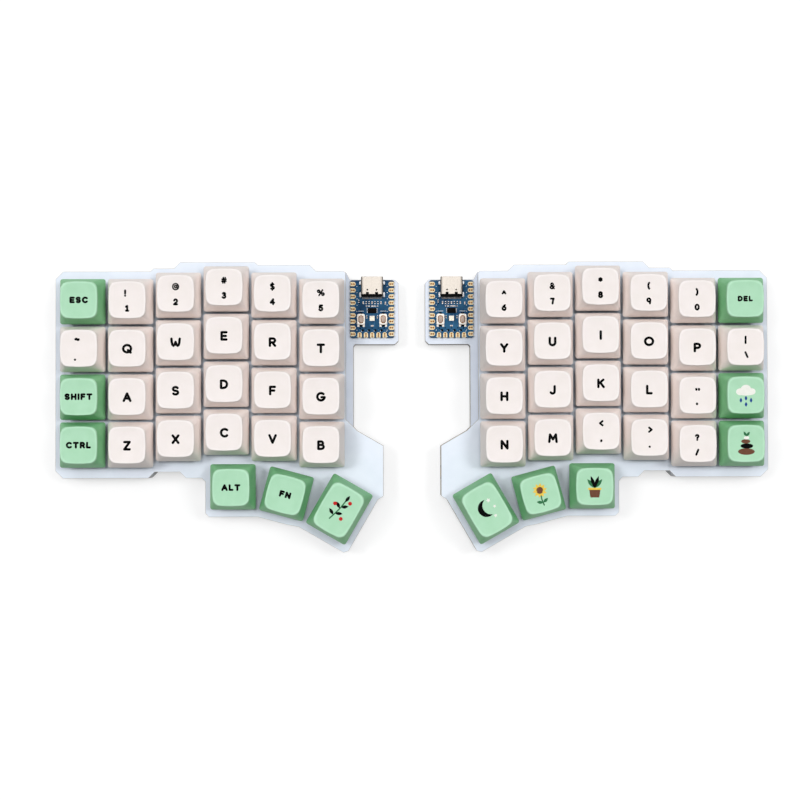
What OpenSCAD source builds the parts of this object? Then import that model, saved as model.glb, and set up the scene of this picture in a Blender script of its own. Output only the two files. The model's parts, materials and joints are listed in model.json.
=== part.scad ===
// Ergonomic split keyboard: two mirrored halves that lie side by side on a desk.
// Each half is an open sandwich of bottom plate, circuit board and switch plate,
// with 24 keys in six staggered columns and a fan of three keys for the thumb.
// The left half is laid out with x below zero; the right half is its mirror image.

/* [Key layout] */
// Distance between neighbouring keys
pitch = 19.05; // [18.5:0.05:20]
// Middle of the pair to the inner column of keys
inner_column_x = 36.1; // [34:0.1:60]
// Upward shift of the ring finger's column
ring_shift = 2.5; // [1.5:0.1:4.5]
// Upward shift of the middle finger's column
middle_shift = 5; // [3:0.1:8]
// Upward shift of the index finger's column
index_shift = 2.5; // [1.5:0.1:4.5]
// First thumb key, inward of the middle finger's column
thumb_inset = 2.65; // [1:0.05:4]
// Extra drop from the bottom row to the first thumb key
thumb_drop = 2.75; // [2:0.05:5]
// Distance between the thumb keys along their fan
thumb_step = 21.5; // [21:0.1:23]
// Turn from one thumb key to the next
thumb_turn = 15; // [12:0.5:18]
// Length of the inner thumb key in key units
wide_units = 1.25; // [1:0.25:1.5]

/* [Keycaps] */
// Gap between neighbouring keycaps
cap_gap = 0.95; // [0.7:0.05:1.3]
// Height of a keycap
cap_h = 9; // [8.4:0.1:11]
// Width of the top face
cap_top_w = 14.2; // [13.4:0.1:15]
// Corner radius of the top face
cap_top_r = 3; // [2:0.1:4]
// Corner radius at the rim
cap_rim_r = 1; // [0.6:0.1:2]
// Height of the rolled edge around the top face
cap_edge_h = 0.8; // [0.4:0.1:1.4]
// Width of the rolled edge around the top face
cap_edge_w = 0.45; // [0.2:0.05:0.8]
// Depth of the finger dish in the top face
dish_depth = 0.3; // [0.1:0.05:0.6]
// Wall of a keycap at its rim
cap_wall = 1.4; // [1:0.1:1.6]
// Thickness of a keycap's roof
cap_roof = 1.8; // [1.4:0.1:2.4]
// Diameter of the post inside a keycap
post_d = 5.6; // [5.3:0.1:6.4]
// Height of the post's mouth above the rim
post_recess = 0.8; // [0.4:0.1:1.2]

/* [Switches] */
// Travel of a key from rest to its stop
travel = 4; // [3:0.1:4.2]
// Width of a switch housing inside the plate
housing_w = 13.9; // [13.5:0.1:14.2]
// Width of the flange that rests on the plate
flange_w = 15.6; // [15:0.1:16]
// Thickness of that flange
flange_t = 1; // [0.8:0.1:1.4]
// Depth of a housing from the plate's top to the board
housing_depth = 5; // [4.6:0.1:5.6]
// Height of a housing above the plate's top
housing_h = 6.6; // [6.2:0.1:7.2]
// Width of the upper housing at its roof
housing_top_w = 10.8; // [10.6:0.1:11.4]
// Step from the flange's edge to the foot of the upper housing
housing_foot_step = 0.4; // [0.2:0.1:0.8]
// Wall, floor and roof of a housing
housing_wall = 1; // [0.8:0.05:1.1]
// Width of the stem where it passes the roof
stem_w = 7.2; // [6.6:0.1:7.4]
// Depth of the stem
stem_d = 5.8; // [5.6:0.1:6.2]
// Shoulder on each side of the stem, which stops it under the roof
stem_shoulder = 0.5; // [0.4:0.05:0.6]
// Height of the stem above the roof
stem_rise = 0.4; // [0.2:0.1:0.8]
// Length of the arms of the cross on the stem
cross_w = 4; // [3.6:0.1:4.2]
// Thickness of the arms of that cross
cross_t = 1.2; // [1:0.05:1.4]
// Height of that cross
cross_h = 3.6; // [3:0.1:4]
// Outer diameter of the spring
spring_d = 4.4; // [4:0.1:4.6]
// Wire of the spring
spring_wire = 0.4; // [0.3:0.05:0.6]
// Width of the square pocket in the stem that holds the spring
spring_pocket_w = 5; // [4.8:0.05:5.2]
// Depth of that pocket
spring_pocket_h = 4.4; // [4:0.1:4.6]
// Diameter of the post that guides a switch into the board
guide_d = 3.9; // [3.6:0.05:4.2]
// Length of that post below the housing
guide_h = 3; // [2.4:0.1:3.1]
// Grid that the contact pins stand on
pin_grid = 1.27; // [1.25:0.01:1.3]
// Diameter of a contact pin
pin_d = 1.4; // [1.1:0.05:1.6]
// Length of a contact pin below the housing
pin_h = 2.8; // [2.2:0.1:3]
// Hole in the board around a contact pin
pin_hole_d = 3; // [2.4:0.1:3.2]
// Thickness of a switch socket
socket_h = 1.8; // [1.6:0.1:2]
// Width of a switch socket
socket_w = 3.4; // [3:0.1:3.5]
// Reach of a switch socket past its pins
socket_end = 1.9; // [1.5:0.1:2.4]
// Length of a diode
diode_l = 2.7; // [2:0.1:3.2]
// Width of a diode
diode_w = 1.6; // [1.2:0.1:2]
// Thickness of a diode
diode_h = 1.1; // [0.8:0.1:1.4]
// Place of a diode below the middle of its key
diode_y = 6.5; // [5:0.1:7]

/* [Stack] */
// Height of the feet
foot_h = 2; // [1.7:0.1:4]
// Diameter of the feet
foot_d = 8; // [6:0.5:10]
// Taper of the feet towards the desk
foot_taper = 0.5; // [0.2:0.1:0.8]
// Thumb's foot below the wide thumb key's centre
thumb_foot = 4.5; // [3.5:0.1:5.5]
// Thickness of the bottom plate
bottom_t = 1.6; // [1.2:0.1:2.4]
// Room between bottom plate and circuit board
spacer_h = 3.2; // [3.1:0.1:6]
// Thickness of the circuit board
board_t = 1.6; // [1.2:0.1:2]
// Thickness of the switch plate
plate_t = 1.5; // [1.2:0.1:1.8]

/* [Plate outline] */
// Plate past the outer column's key centres
side_margin = 12.2; // [11:0.1:15]
// Plate above the top row's key centres
top_margin = 12.7; // [11.5:0.1:14]
// Plate above the top key centres of the ring and middle columns
tip_margin = 11.4; // [10.5:0.1:12.5]
// Plate below the bottom row's key centres
bottom_margin = 13.5; // [12:0.1:14.5]
// Plate inward of the inner column's key centres
inner_margin = 9.4; // [9.1:0.1:10.5]
// Cut of the outer corners
corner_cut = 3; // [1:0.1:4]
// Cut of the small corners
small_cut = 1.5; // [0.5:0.1:1.8]
// Upper edge's step to the ring column, inward of the outer columns
ring_step_x = 6.9; // [5:0.1:9]
// Upper edge's step to the middle column, outward of the ring column
middle_step_x = 0.2; // [0:0.1:2]
// Upper edge's step to the index column, inward of the middle column
index_step_x = 10.9; // [9.6:0.1:12]
// Upper edge's step to the inner column, outward of that column
inner_step_x = 2.6; // [1:0.1:4]
// Lower edge's notch under the ring column, outward of it
notch_out_x = 10.4; // [9.6:0.1:12]
// Lower edge's notch under the ring column, inward of it
notch_in_x = 2.2; // [1:0.1:4]
// Plate outward of the first thumb key's centre
thumb_side = 11.75; // [11:0.05:13]
// Plate below the thumb keycaps
thumb_edge = 3.3; // [2:0.1:4.5]
// Bend of the lower edge, inward of the middle thumb key's centre
thumb_bend = 2.6; // [1.5:0.1:4]
// Plate inward of the wide thumb keycap
thumb_inner_edge = 2.5; // [2:0.1:4]
// Shoulder's width from the inner column's key centres
shoulder_w = 24.5; // [23:0.1:26]
// Shoulder's depth above the wide thumb keycap
shoulder_h = 19.1; // [17:0.1:20]
// Start of the shoulder's slope above the bottom row
shoulder_top = 10; // [9:0.1:13]
// Visible strip of board inward of the plate
strip_w = 3; // [2:0.1:4]

/* [Controller] */
// Width of the controller's board
controller_w = 18; // [17:0.1:18.6]
// Length of the controller's board
controller_l = 23.5; // [22.5:0.1:26]
// Thickness of the controller's board
controller_t = 1; // [0.8:0.1:1.6]
// Corner radius of the controller's board
controller_r = 1; // [0.5:0.1:1.5]
// Controller's middle, inward of the inner column's key centres
controller_x = 20; // [19.6:0.1:21]
// Controller's end above the top row's key centres
controller_top = 9.4; // [8:0.1:10]
// Board past the controller's inner side
lobe_side = 1.7; // [1:0.1:3]
// Board past the controller's upper end
lobe_top = 0.3; // [0.2:0.1:1]
// Board past the controller's lower end
lobe_low = 2.6; // [2:0.1:4]
// Solder pads along each side
side_pads = 9; // [7:1:9]
// Solder pads along the lower end
end_pads = 5; // [3:1:5]
// Distance between the solder pads
pad_pitch = 2.54; // [2.3:0.01:2.6]
// Diameter of the pads' half holes
pad_hole_d = 1; // [0.6:0.1:1.4]
// First side pad below the controller's upper end
pad_start = 1.6; // [1.2:0.1:2]
// Width of the USB-C socket
usb_w = 8.94; // [8.6:0.02:9.2]
// Height of the USB-C socket
usb_h = 3.2; // [3:0.05:3.4]
// Length of the USB-C socket
usb_l = 7.35; // [6.5:0.05:8]
// Sheet of the USB-C socket's shell
usb_wall = 0.3; // [0.2:0.05:0.4]
// Reach of the USB-C socket past the board
usb_reach = 1.2; // [0.5:0.1:2]
// Width of the USB-C socket's tongue
tongue_w = 6.7; // [6:0.05:7]
// Thickness of that tongue
tongue_t = 0.7; // [0.5:0.05:0.9]
// Length of that tongue
tongue_l = 4.5; // [3.5:0.1:5]
// Width of a push button's body
button_w = 3.2; // [2.6:0.1:3.4]
// Length of a push button's body
button_l = 4.4; // [3.6:0.1:4.8]
// Height of a push button's body
button_h = 1.4; // [1:0.1:2]
// Width of a push button's plunger
plunger_w = 1.5; // [1:0.1:2]
// Length of a push button's plunger
plunger_l = 2.6; // [2.1:0.1:3]
// Height of a push button's plunger
plunger_h = 0.6; // [0.3:0.1:1]
// Push buttons on each side of the middle
button_x = 4.5; // [3.6:0.1:5]
// Push buttons below the controller's upper end
button_y = 16; // [15:0.1:17]
// Side of the lamp
lamp_w = 2; // [1.5:0.1:2.2]
// Lamp below the controller's upper end
lamp_y = 15.6; // [15.2:0.1:17]
// Height of the lamp
lamp_h = 0.8; // [0.5:0.1:1.2]
// Width of the small chip
chip_w = 4.4; // [3.5:0.1:5]
// Length of the small chip
chip_l = 2; // [1.4:0.1:2.4]
// Height of the small chip
chip_h = 0.9; // [0.6:0.1:1.2]
// Small chip below the controller's upper end
chip_y = 12.4; // [11.5:0.1:12.8]
// Side of the processor under the controller's board
processor_w = 7; // [6:0.1:8]
// Height of the processor
processor_h = 0.9; // [0.7:0.1:1.1]
// Room around the processor in the circuit board's window
window_gap = 1; // [0.5:0.1:1.5]

/* [Link jack] */
// Length of the jack
jack_l = 12; // [11:0.1:13]
// Width of the jack
jack_w = 6; // [5.6:0.1:7]
// Height of the jack
jack_h = 5; // [4.8:0.1:5.4]
// Diameter of the plug's hole
jack_hole_d = 3.6; // [3.5:0.05:3.8]
// Wall behind the plug's hole
jack_back = 1; // [0.6:0.1:2]

/* [Fasteners] */
// Outer diameter of a standoff
standoff_d = 3.6; // [3.2:0.1:4]
// Diameter of the screws' shafts
screw_d = 2; // [1.6:0.1:2.2]
// Diameter of the screws' heads
head_d = 3.6; // [3.2:0.1:4]
// Height of the screws' heads
head_h = 1.3; // [1:0.1:1.5]
// Reach of a screw into its standoff
screw_grip = 1.4; // [1:0.1:1.5]
// Width of the key socket in a screw's head
drive_w = 1.5; // [1.2:0.1:1.8]
// Depth of the key socket in a screw's head
drive_h = 0.7; // [0.5:0.1:0.9]

/* [Clearances] */
// Room on each side of a housing in the plate
plate_gap = 0.05; // [0.02:0.01:0.1]
// Room on each side of the stem in the roof
running_gap = 0.2; // [0.1:0.05:0.25]
// Room between the stem's shoulders and the roof
stop_gap = 0.05; // [0.02:0.01:0.15]
// Room under the stem at the end of its travel
bottoming_gap = 0.4; // [0.2:0.1:0.6]
// Room over the spring at the end of the travel
spring_gap = 0.15; // [0.05:0.05:0.3]
// Room on each side of the cross in the cap's post
cross_gap = 0.05; // [0.02:0.01:0.1]
// Room past the cross's tip in the cap's post
cross_tip_gap = 0.3; // [0.1:0.1:0.6]
// Room around posts, pins, screws and jacks in their holes
hole_gap = 0.1; // [0.05:0.05:0.15]
// Seam between pieces that sit on each other
seam = 0.05; // [0.02:0.01:0.1]

/* [Hidden] */
$fn = 48;
// Cuts run past the faces that they open by this much
cut = 1;
last_column = 5;
last_row = 3;
corner_steps = 3;
dish_share = 0.55;
cream = "#f3ece6";
green = "#9fd6ae";
pin_places = pin_grid * [[-3, 2], [2, 4]];

// Heights, from the desk up
bottom_z = foot_h;
board_z = bottom_z + bottom_t + spacer_h;
board_top_z = board_z + board_t;
plate_top_z = board_top_z + housing_depth;

// Keycap and stem, measured from the plate's top
cap_w = pitch - cap_gap;
floor_z = housing_wall - housing_depth;
roof_z = housing_h - housing_wall;
stem_low_z = floor_z + travel + bottoming_gap;
stem_top_z = housing_h + stem_rise;
cap_z = stem_top_z + seam - post_recess;
spring_h = stem_low_z + spring_pocket_h - travel - spring_gap - floor_z - seam;
housing_foot_w = flange_w - 2 * housing_foot_step;

left_names = [
    ["esc", "1", "2", "3", "4", "5"],
    ["tilde", "q", "w", "e", "r", "t"],
    ["shift", "a", "s", "d", "f", "g"],
    ["ctrl", "z", "x", "c", "v", "b"]
];
right_names = [
    ["6", "7", "8", "9", "0", "del"],
    ["y", "u", "i", "o", "p", "backslash"],
    ["h", "j", "k", "l", "quote", "right_edge_home"],
    ["n", "m", "comma", "dot", "slash", "right_edge_low"]
];
left_thumbs = ["alt", "fn", "left_thumb_wide"];
right_thumbs = ["right_thumb_outer", "right_thumb_middle", "right_thumb_wide"];
accents = concat(
    ["esc", "shift", "ctrl", "del", "right_edge_home", "right_edge_low"],
    left_thumbs,
    right_thumbs
);

// Layout of the left half, with the bottom row of the outer columns on y = 0
function column_shift(c) = [0, 0, ring_shift, middle_shift, index_shift, 0][c];
function column_x(c) = -inner_column_x - (last_column - c) * pitch;
function row_y(c, r) = column_shift(c) + (last_row - r) * pitch;
function along(turn) = [cos(turn), -sin(turn)];
function across(turn) = [sin(turn), cos(turn)];
function thumb_units(i) = i == 2 ? wide_units : 1;
function cap_length(units) = units * pitch - cap_gap;
function thumb_start() = [column_x(3) + thumb_inset, row_y(3, last_row) - pitch - thumb_drop];
function thumb_fan(i) =
    i == 0 ? thumb_start() : thumb_fan(i - 1) + thumb_step * along((i - 0.5) * thumb_turn);
function thumb_at(i) = thumb_fan(i) + (thumb_units(i) - 1) * pitch / 2 * across(i * thumb_turn);
function thumb_point(i, p) =
    thumb_at(i) + p[0] * along(i * thumb_turn) + p[1] * across(i * thumb_turn);

// Lines that the plate's outline follows
x_out = column_x(0) - side_margin;
x_in = column_x(last_column) + inner_margin;
x_strip = x_in + strip_w;
x_shoulder = column_x(last_column) + shoulder_w;
x_thumb = thumb_at(0)[0] - thumb_side;
y_outer = row_y(0, 0) + top_margin;
y_ring = row_y(2, 0) + tip_margin;
y_middle = row_y(3, 0) + tip_margin;
y_index = row_y(4, 0) + top_margin;
y_inner = row_y(last_column, 0) + top_margin;
y_low = row_y(0, last_row) - bottom_margin;
y_notch = row_y(2, last_row) - bottom_margin;
notch_rise = y_notch - y_low;
y_shoulder = row_y(last_column, last_row) + shoulder_top;
y_thumb = thumb_at(0)[1] - cap_w / 2 - thumb_edge;
wide_low = cap_length(wide_units) / 2 + thumb_edge;
wide_side = cap_w / 2 + thumb_inner_edge;
fan_low = thumb_point(1, [thumb_bend, -cap_w / 2 - thumb_edge]);
fan_end = thumb_point(2, [wide_side, cap_w / 2 + small_cut]);
// The shoulder's slope lies along the wide thumb key
slope_point = thumb_point(2, [0, cap_length(wide_units) / 2 + shoulder_h]);
slope_fall = tan(2 * thumb_turn);
function slope_y(x) = slope_point[1] - (x - slope_point[0]) * slope_fall;
bend_x = (x_in + y_shoulder - slope_y(0)) / (1 - slope_fall);

// Controller and the board's lobe under it
x_controller = column_x(last_column) + controller_x;
y_controller = row_y(last_column, 0) + controller_top;
x_lobe = x_controller + controller_w / 2 + lobe_side;
y_lobe = y_controller + lobe_top;
y_lobe_low = y_controller - controller_l - lobe_low;

upper_edge = [
    [x_out, y_outer - corner_cut],
    [x_out + corner_cut, y_outer],
    [column_x(1) + ring_step_x, y_outer],
    [column_x(1) + ring_step_x + abs(y_ring - y_outer), y_ring],
    [column_x(2) - middle_step_x - abs(y_middle - y_ring), y_ring],
    [column_x(2) - middle_step_x, y_middle],
    [column_x(3) + index_step_x, y_middle],
    [column_x(3) + index_step_x + abs(y_middle - y_index), y_index],
    [column_x(last_column) - inner_step_x - abs(y_index - y_inner), y_index],
    [column_x(last_column) - inner_step_x, y_inner]
];
plate_inner_edge = [
    [x_in - small_cut / 2, y_inner],
    [x_in, y_inner - small_cut / 2],
    [x_in, y_shoulder]
];
board_inner_edge = [
    [x_in, y_inner],
    [x_in + small_cut, y_lobe],
    [x_lobe - small_cut, y_lobe],
    [x_lobe, y_lobe - small_cut],
    [x_lobe, y_lobe_low + small_cut],
    [x_lobe - small_cut, y_lobe_low],
    [x_strip + small_cut / 2, y_lobe_low],
    [x_strip, y_lobe_low - small_cut / 2],
    [x_strip, y_shoulder - strip_w]
];
lower_edge = [
    [bend_x, slope_y(bend_x)],
    [x_shoulder, slope_y(x_shoulder)],
    [x_shoulder, fan_end[1] + small_cut],
    fan_end,
    thumb_point(2, [wide_side, small_cut - wide_low]),
    thumb_point(2, [wide_side - small_cut, -wide_low]),
    thumb_point(2, [-cap_w / 2 - small_cut, -wide_low]),
    fan_low,
    [fan_low[0] - (y_thumb - fan_low[1]) / tan(thumb_turn), y_thumb],
    [x_thumb + small_cut, y_thumb],
    [x_thumb, y_thumb + small_cut],
    [x_thumb, y_low - small_cut],
    [x_thumb - small_cut, y_low],
    [column_x(2) + notch_in_x, y_low],
    [column_x(2) + notch_in_x - notch_rise, y_notch],
    [column_x(2) - notch_out_x, y_notch],
    [column_x(2) - notch_out_x - notch_rise, y_low],
    [x_out + corner_cut, y_low],
    [x_out, y_low + corner_cut]
];
plate_outline = concat(upper_edge, plate_inner_edge, lower_edge);
board_outline = concat(upper_edge, board_inner_edge, lower_edge);

// The origin lies on the desk under the middle of the pair's outline
outline_ys = [for (p = plate_outline) p[1]];
origin_y = (max(outline_ys) + min(outline_ys)) / 2;

// Each key: name, x, y, turn, length in key units
KEYS = concat(
    [for (r = [0:last_row]) for (c = [0:last_column])
        [left_names[r][c], column_x(c), row_y(c, r), 0, 1]],
    [for (r = [0:last_row]) for (c = [0:last_column])
        [right_names[r][last_column - c], -column_x(c), row_y(c, r), 0, 1]],
    [for (i = [0:2])
        [left_thumbs[i], thumb_at(i)[0], thumb_at(i)[1], -i * thumb_turn, thumb_units(i)]],
    [for (i = [0:2])
        [right_thumbs[i], -thumb_at(i)[0], thumb_at(i)[1], i * thumb_turn, thumb_units(i)]]
);
function is_accent(name) = len([for (a = accents) if (a == name) a]) > 0;

// Standoffs stand between four keys, and between the last two thumb keys
function between(c, r) = [
    (column_x(c) + column_x(c + 1)) / 2,
    (row_y(c, r) + row_y(c, r + 1) + row_y(c + 1, r) + row_y(c + 1, r + 1)) / 4
];
standoff_places = [
    between(0, 0),
    between(0, last_row - 1),
    between(4, 0),
    between(4, last_row - 1),
    (thumb_at(1) + thumb_at(2)) / 2
];
foot_places = [
    [column_x(0), row_y(0, 0)],
    [column_x(0), row_y(0, last_row)],
    [column_x(last_column), row_y(last_column, 0)],
    thumb_point(2, [0, -thumb_foot])
];
jack_y = (slope_y(x_shoulder) + fan_end[1]) / 2;
jack_z = board_z + (board_t - jack_h) / 2;

// Placing
module in_layout() {
    translate([0, -origin_y, 0]) children();
}

module on_both_halves() {
    children();
    mirror([1, 0, 0]) children();
}

module at_key(k) {
    translate([k[1], k[2], 0]) rotate(k[3]) children();
}

module at_each_key() {
    for (k = KEYS) at_key(k) children();
}

module at_standoffs() {
    on_both_halves() for (p = standoff_places) translate(p) children();
}

// A rounded rectangle's points at height z, and a skin over a stack of such rings
function ring(w, l, r, z) = [
    for (q = [0:3]) for (s = [0:corner_steps])
        let (
            a = 90 * (q + s / corner_steps),
            cx = (q == 0 || q == 3 ? 1 : -1) * (w / 2 - r),
            cy = (q < 2 ? 1 : -1) * (l / 2 - r)
        )
        [cx + r * cos(a), cy + r * sin(a), z]
];

module skin(rings) {
    n = len(rings[0]);
    top = (len(rings) - 1) * n;
    sides = [
        for (b = [0:len(rings) - 2]) for (i = [0:n - 1])
            let (a0 = b * n + i, a1 = b * n + (i + 1) % n)
            each [[a0, a0 + n, a1 + n], [a0, a1 + n, a1]]
    ];
    ends = [[for (i = [0:n - 1]) i], [for (i = [0:n - 1]) top + n - 1 - i]];
    polyhedron(points = [for (r = rings) each r], faces = concat(sides, ends));
}

module frustum(low_w, top_w, low_z, top_z) {
    corners = [[-1, -1], [1, -1], [1, 1], [-1, 1]];
    polyhedron(
        points = concat(
            [for (c = corners) [c[0] * low_w / 2, c[1] * low_w / 2, low_z]],
            [for (c = corners) [c[0] * top_w / 2, c[1] * top_w / 2, top_z]]
        ),
        faces = [[0, 1, 2, 3], [7, 6, 5, 4], [0, 4, 5, 1], [1, 5, 6, 2], [2, 6, 7, 3], [3, 7, 4, 0]]
    );
}

module box(w, l, h) {
    translate([-w / 2, -l / 2, 0]) cube([w, l, h]);
}

// Keys: a cap pressed on a switch stem, at heights from the plate's top
module cross(w, t, h) {
    box(w, t, h);
    box(t, w, h);
}

module cap_shell(units) {
    extra = (units - 1) * pitch;
    edge = cap_top_w + 2 * cap_edge_w;
    dish = cap_top_w * dish_share;
    skin([
        ring(cap_w, cap_w + extra, cap_rim_r, 0),
        ring(edge, edge + extra, cap_top_r + cap_edge_w, cap_h - cap_edge_h),
        ring(cap_top_w, cap_top_w + extra, cap_top_r, cap_h),
        ring(dish, dish + extra, cap_top_r, cap_h - dish_depth)
    ]);
}

module cap_hollow(units) {
    extra = (units - 1) * pitch;
    low = cap_w - 2 * cap_wall;
    high = cap_top_w - cap_wall;
    roof = cap_h - cap_roof;
    skin([
        ring(low + cap_wall / 2, low + cap_wall / 2 + extra, cap_rim_r, -cap_wall),
        ring(low, low + extra, cap_rim_r, 0),
        ring(high, high + extra, cap_rim_r, roof)
    ]);
}

module keycap(units) {
    difference() {
        union() {
            difference() {
                cap_shell(units);
                cap_hollow(units);
            }
            translate([0, 0, post_recess])
                cylinder(d = post_d, h = cap_h - cap_roof / 2 - post_recess, $fn = 8);
        }
        translate([0, 0, post_recess - cut])
            cross(cross_w + 2 * cross_gap, cross_t + 2 * cross_gap, cut + cross_h + cross_tip_gap);
    }
}

module stem() {
    shoulder_z = roof_z - stop_gap;
    difference() {
        union() {
            translate([0, 0, stem_low_z])
                box(stem_w + 2 * stem_shoulder, stem_d, shoulder_z - stem_low_z);
            translate([0, 0, stem_low_z]) box(stem_w, stem_d, stem_top_z - stem_low_z);
            translate([0, 0, stem_low_z]) cross(cross_w, cross_t, stem_top_z + cross_h - stem_low_z);
        }
        translate([0, 0, stem_low_z - cut])
            box(spring_pocket_w, spring_pocket_w, cut + spring_pocket_h);
    }
}

module key(k) {
    color(is_accent(k[0]) ? green : cream)
        in_layout() at_key(k) translate([0, 0, plate_top_z]) {
            translate([0, 0, cap_z]) keycap(k[4]);
            stem();
        }
}

// Switches with their sockets and diodes, at heights from the plate's top
module lower_housing() {
    inside_w = housing_w - 2 * housing_wall;
    difference() {
        union() {
            translate([0, 0, -housing_depth]) box(housing_w, housing_w, housing_depth);
            box(flange_w, flange_w, flange_t);
        }
        translate([0, 0, floor_z]) box(inside_w, inside_w, housing_depth + flange_t);
    }
    translate([0, 0, -housing_depth - guide_h]) cylinder(d = guide_d, h = guide_h, $fn = 12);
    for (p = pin_places)
        translate([p[0], p[1], -housing_depth - pin_h]) cylinder(d = pin_d, h = pin_h, $fn = 8);
}

module upper_housing() {
    thick = 2 * housing_wall;
    difference() {
        frustum(housing_foot_w, housing_top_w, flange_t + seam, housing_h);
        frustum(housing_foot_w - thick, housing_top_w - thick, flange_t, roof_z);
        box(stem_w + 2 * running_gap, stem_d + 2 * running_gap, 2 * housing_h);
    }
}

module spring() {
    translate([0, 0, floor_z + seam]) difference() {
        cylinder(d = spring_d, h = spring_h, $fn = 12);
        translate([0, 0, -cut])
            cylinder(d = spring_d - 2 * spring_wire, h = spring_h + 2 * cut, $fn = 12);
    }
}

module socket() {
    ends = pin_places[1] - pin_places[0];
    middle = (pin_places[1] + pin_places[0]) / 2;
    difference() {
        translate(middle) rotate(atan2(ends[1], ends[0]))
            box(norm(ends) + 2 * socket_end, socket_w, socket_h);
        for (p = pin_places)
            translate([p[0], p[1], socket_h + seam + board_t - pin_h - hole_gap])
                cylinder(d = pin_d + 2 * hole_gap, h = socket_h + pin_h, $fn = 8);
    }
}

module switches() {
    under_board = -housing_depth - board_t - seam;
    color("#2b2624")
        in_layout() at_each_key() translate([0, 0, plate_top_z]) {
            lower_housing();
            upper_housing();
            spring();
            translate([0, 0, under_board - socket_h]) socket();
            translate([0, -diode_y, under_board - diode_h]) box(diode_l, diode_w, diode_h);
        }
}

// Plates
module switch_plates() {
    hole_w = housing_w + 2 * plate_gap;
    color("#eef4f8")
        in_layout() translate([0, 0, plate_top_z - plate_t]) difference() {
            on_both_halves() linear_extrude(plate_t) polygon(plate_outline);
            at_each_key() translate([0, 0, -cut]) box(hole_w, hole_w, plate_t + 2 * cut);
        }
}

module foot() {
    rotate_extrude() polygon([
        [0, 0],
        [foot_d / 2 - foot_taper, 0],
        [foot_d / 2, foot_h - seam],
        [0, foot_h - seam]
    ]);
}

module bottom_plates() {
    color("#e4ebf1") in_layout() {
        translate([0, 0, bottom_z]) difference() {
            on_both_halves() linear_extrude(bottom_t) polygon(board_outline);
            at_standoffs() translate([0, 0, -cut])
                cylinder(d = screw_d + 2 * hole_gap, h = bottom_t + 2 * cut);
        }
        on_both_halves() for (p = foot_places) translate(p) foot();
    }
}

// Circuit boards with the link jacks that are soldered to them
module board_holes() {
    depth = board_t + 2 * cut;
    translate([0, 0, -cut]) {
        at_each_key() {
            cylinder(d = guide_d + 2 * hole_gap, h = depth);
            for (p = pin_places) translate(p) cylinder(d = pin_hole_d, h = depth);
        }
        at_standoffs() cylinder(d = screw_d + 2 * hole_gap, h = depth);
    }
}

module board_windows() {
    window_w = processor_w + 2 * window_gap;
    depth = board_t + 2 * cut;
    translate([x_controller, y_controller - controller_l / 2, -cut])
        box(window_w, window_w, depth);
    translate([x_shoulder - jack_l - hole_gap, jack_y - jack_w / 2 - hole_gap, -cut])
        cube([jack_l + hole_gap + cut, jack_w + 2 * hole_gap, depth]);
}

module jack() {
    translate([x_shoulder - jack_l, jack_y, jack_z]) difference() {
        translate([0, -jack_w / 2, 0]) cube([jack_l, jack_w, jack_h]);
        translate([jack_back, 0, jack_h / 2]) rotate([0, 90, 0]) cylinder(d = jack_hole_d, h = jack_l);
    }
}

module circuit_boards() {
    color("#dde4ea") in_layout() {
        translate([0, 0, board_z]) difference() {
            on_both_halves() linear_extrude(board_t) polygon(board_outline);
            board_holes();
            on_both_halves() board_windows();
        }
        on_both_halves() jack();
    }
}

// Controllers, with the middle of the board's upper end at the origin
module capsule(w, h) {
    if (w > h) {
        translate([-w / 2 + h / 2, 0]) circle(d = h);
        translate([w / 2 - h / 2, 0]) circle(d = h);
        square([w - h, h], center = true);
    } else {
        rotate(90) capsule(h, w);
    }
}

module controller_outline() {
    w = controller_w - 2 * controller_r;
    l = controller_l - 2 * controller_r;
    difference() {
        translate([0, -controller_l / 2]) union() {
            square([w, controller_l], center = true);
            square([controller_w, l], center = true);
            for (x = [-w / 2, w / 2]) for (y = [-l / 2, l / 2]) translate([x, y]) circle(controller_r);
        }
        for (i = [0:side_pads - 1]) for (x = [-controller_w / 2, controller_w / 2])
            translate([x, -pad_start - i * pad_pitch]) circle(d = pad_hole_d);
        for (i = [0:end_pads - 1])
            translate([(i - (end_pads - 1) / 2) * pad_pitch, -controller_l]) circle(d = pad_hole_d);
    }
}

module usb_socket() {
    tongue_back = usb_l - usb_wall - seam;
    translate([0, usb_reach, usb_h / 2]) rotate([90, 0, 0]) {
        difference() {
            linear_extrude(usb_l) capsule(usb_w, usb_h);
            translate([0, 0, -cut])
                linear_extrude(usb_l - usb_wall + cut) capsule(usb_w - 2 * usb_wall, usb_h - 2 * usb_wall);
        }
        translate([-tongue_w / 2, -tongue_t / 2, tongue_back - tongue_l])
            cube([tongue_w, tongue_t, tongue_l]);
    }
}

module push_button() {
    box(button_w, button_l, button_h);
    translate([0, 0, button_h + seam]) linear_extrude(plunger_h) capsule(plunger_w, plunger_l);
}

module controller() {
    linear_extrude(controller_t) controller_outline();
    translate([0, -controller_l / 2, -seam - processor_h])
        box(processor_w, processor_w, processor_h);
    translate([0, 0, controller_t + seam]) {
        usb_socket();
        for (x = [-button_x, button_x]) translate([x, -button_y, 0]) push_button();
        translate([0, -lamp_y, 0]) box(lamp_w, lamp_w, lamp_h);
        translate([0, -chip_y, 0]) box(chip_w, chip_l, chip_h);
    }
}

module controllers() {
    color("#24486a")
        in_layout() on_both_halves() translate([x_controller, y_controller, board_top_z]) controller();
}

// Standoffs, with a screw from above and one from below
module screw(reach) {
    shaft = reach + screw_grip;
    difference() {
        cylinder(d = head_d, h = head_h);
        translate([0, 0, head_h - drive_h]) cylinder(d = drive_w, h = drive_h + cut, $fn = 6);
    }
    translate([0, 0, -shaft]) cylinder(d = screw_d, h = shaft);
}

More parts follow.
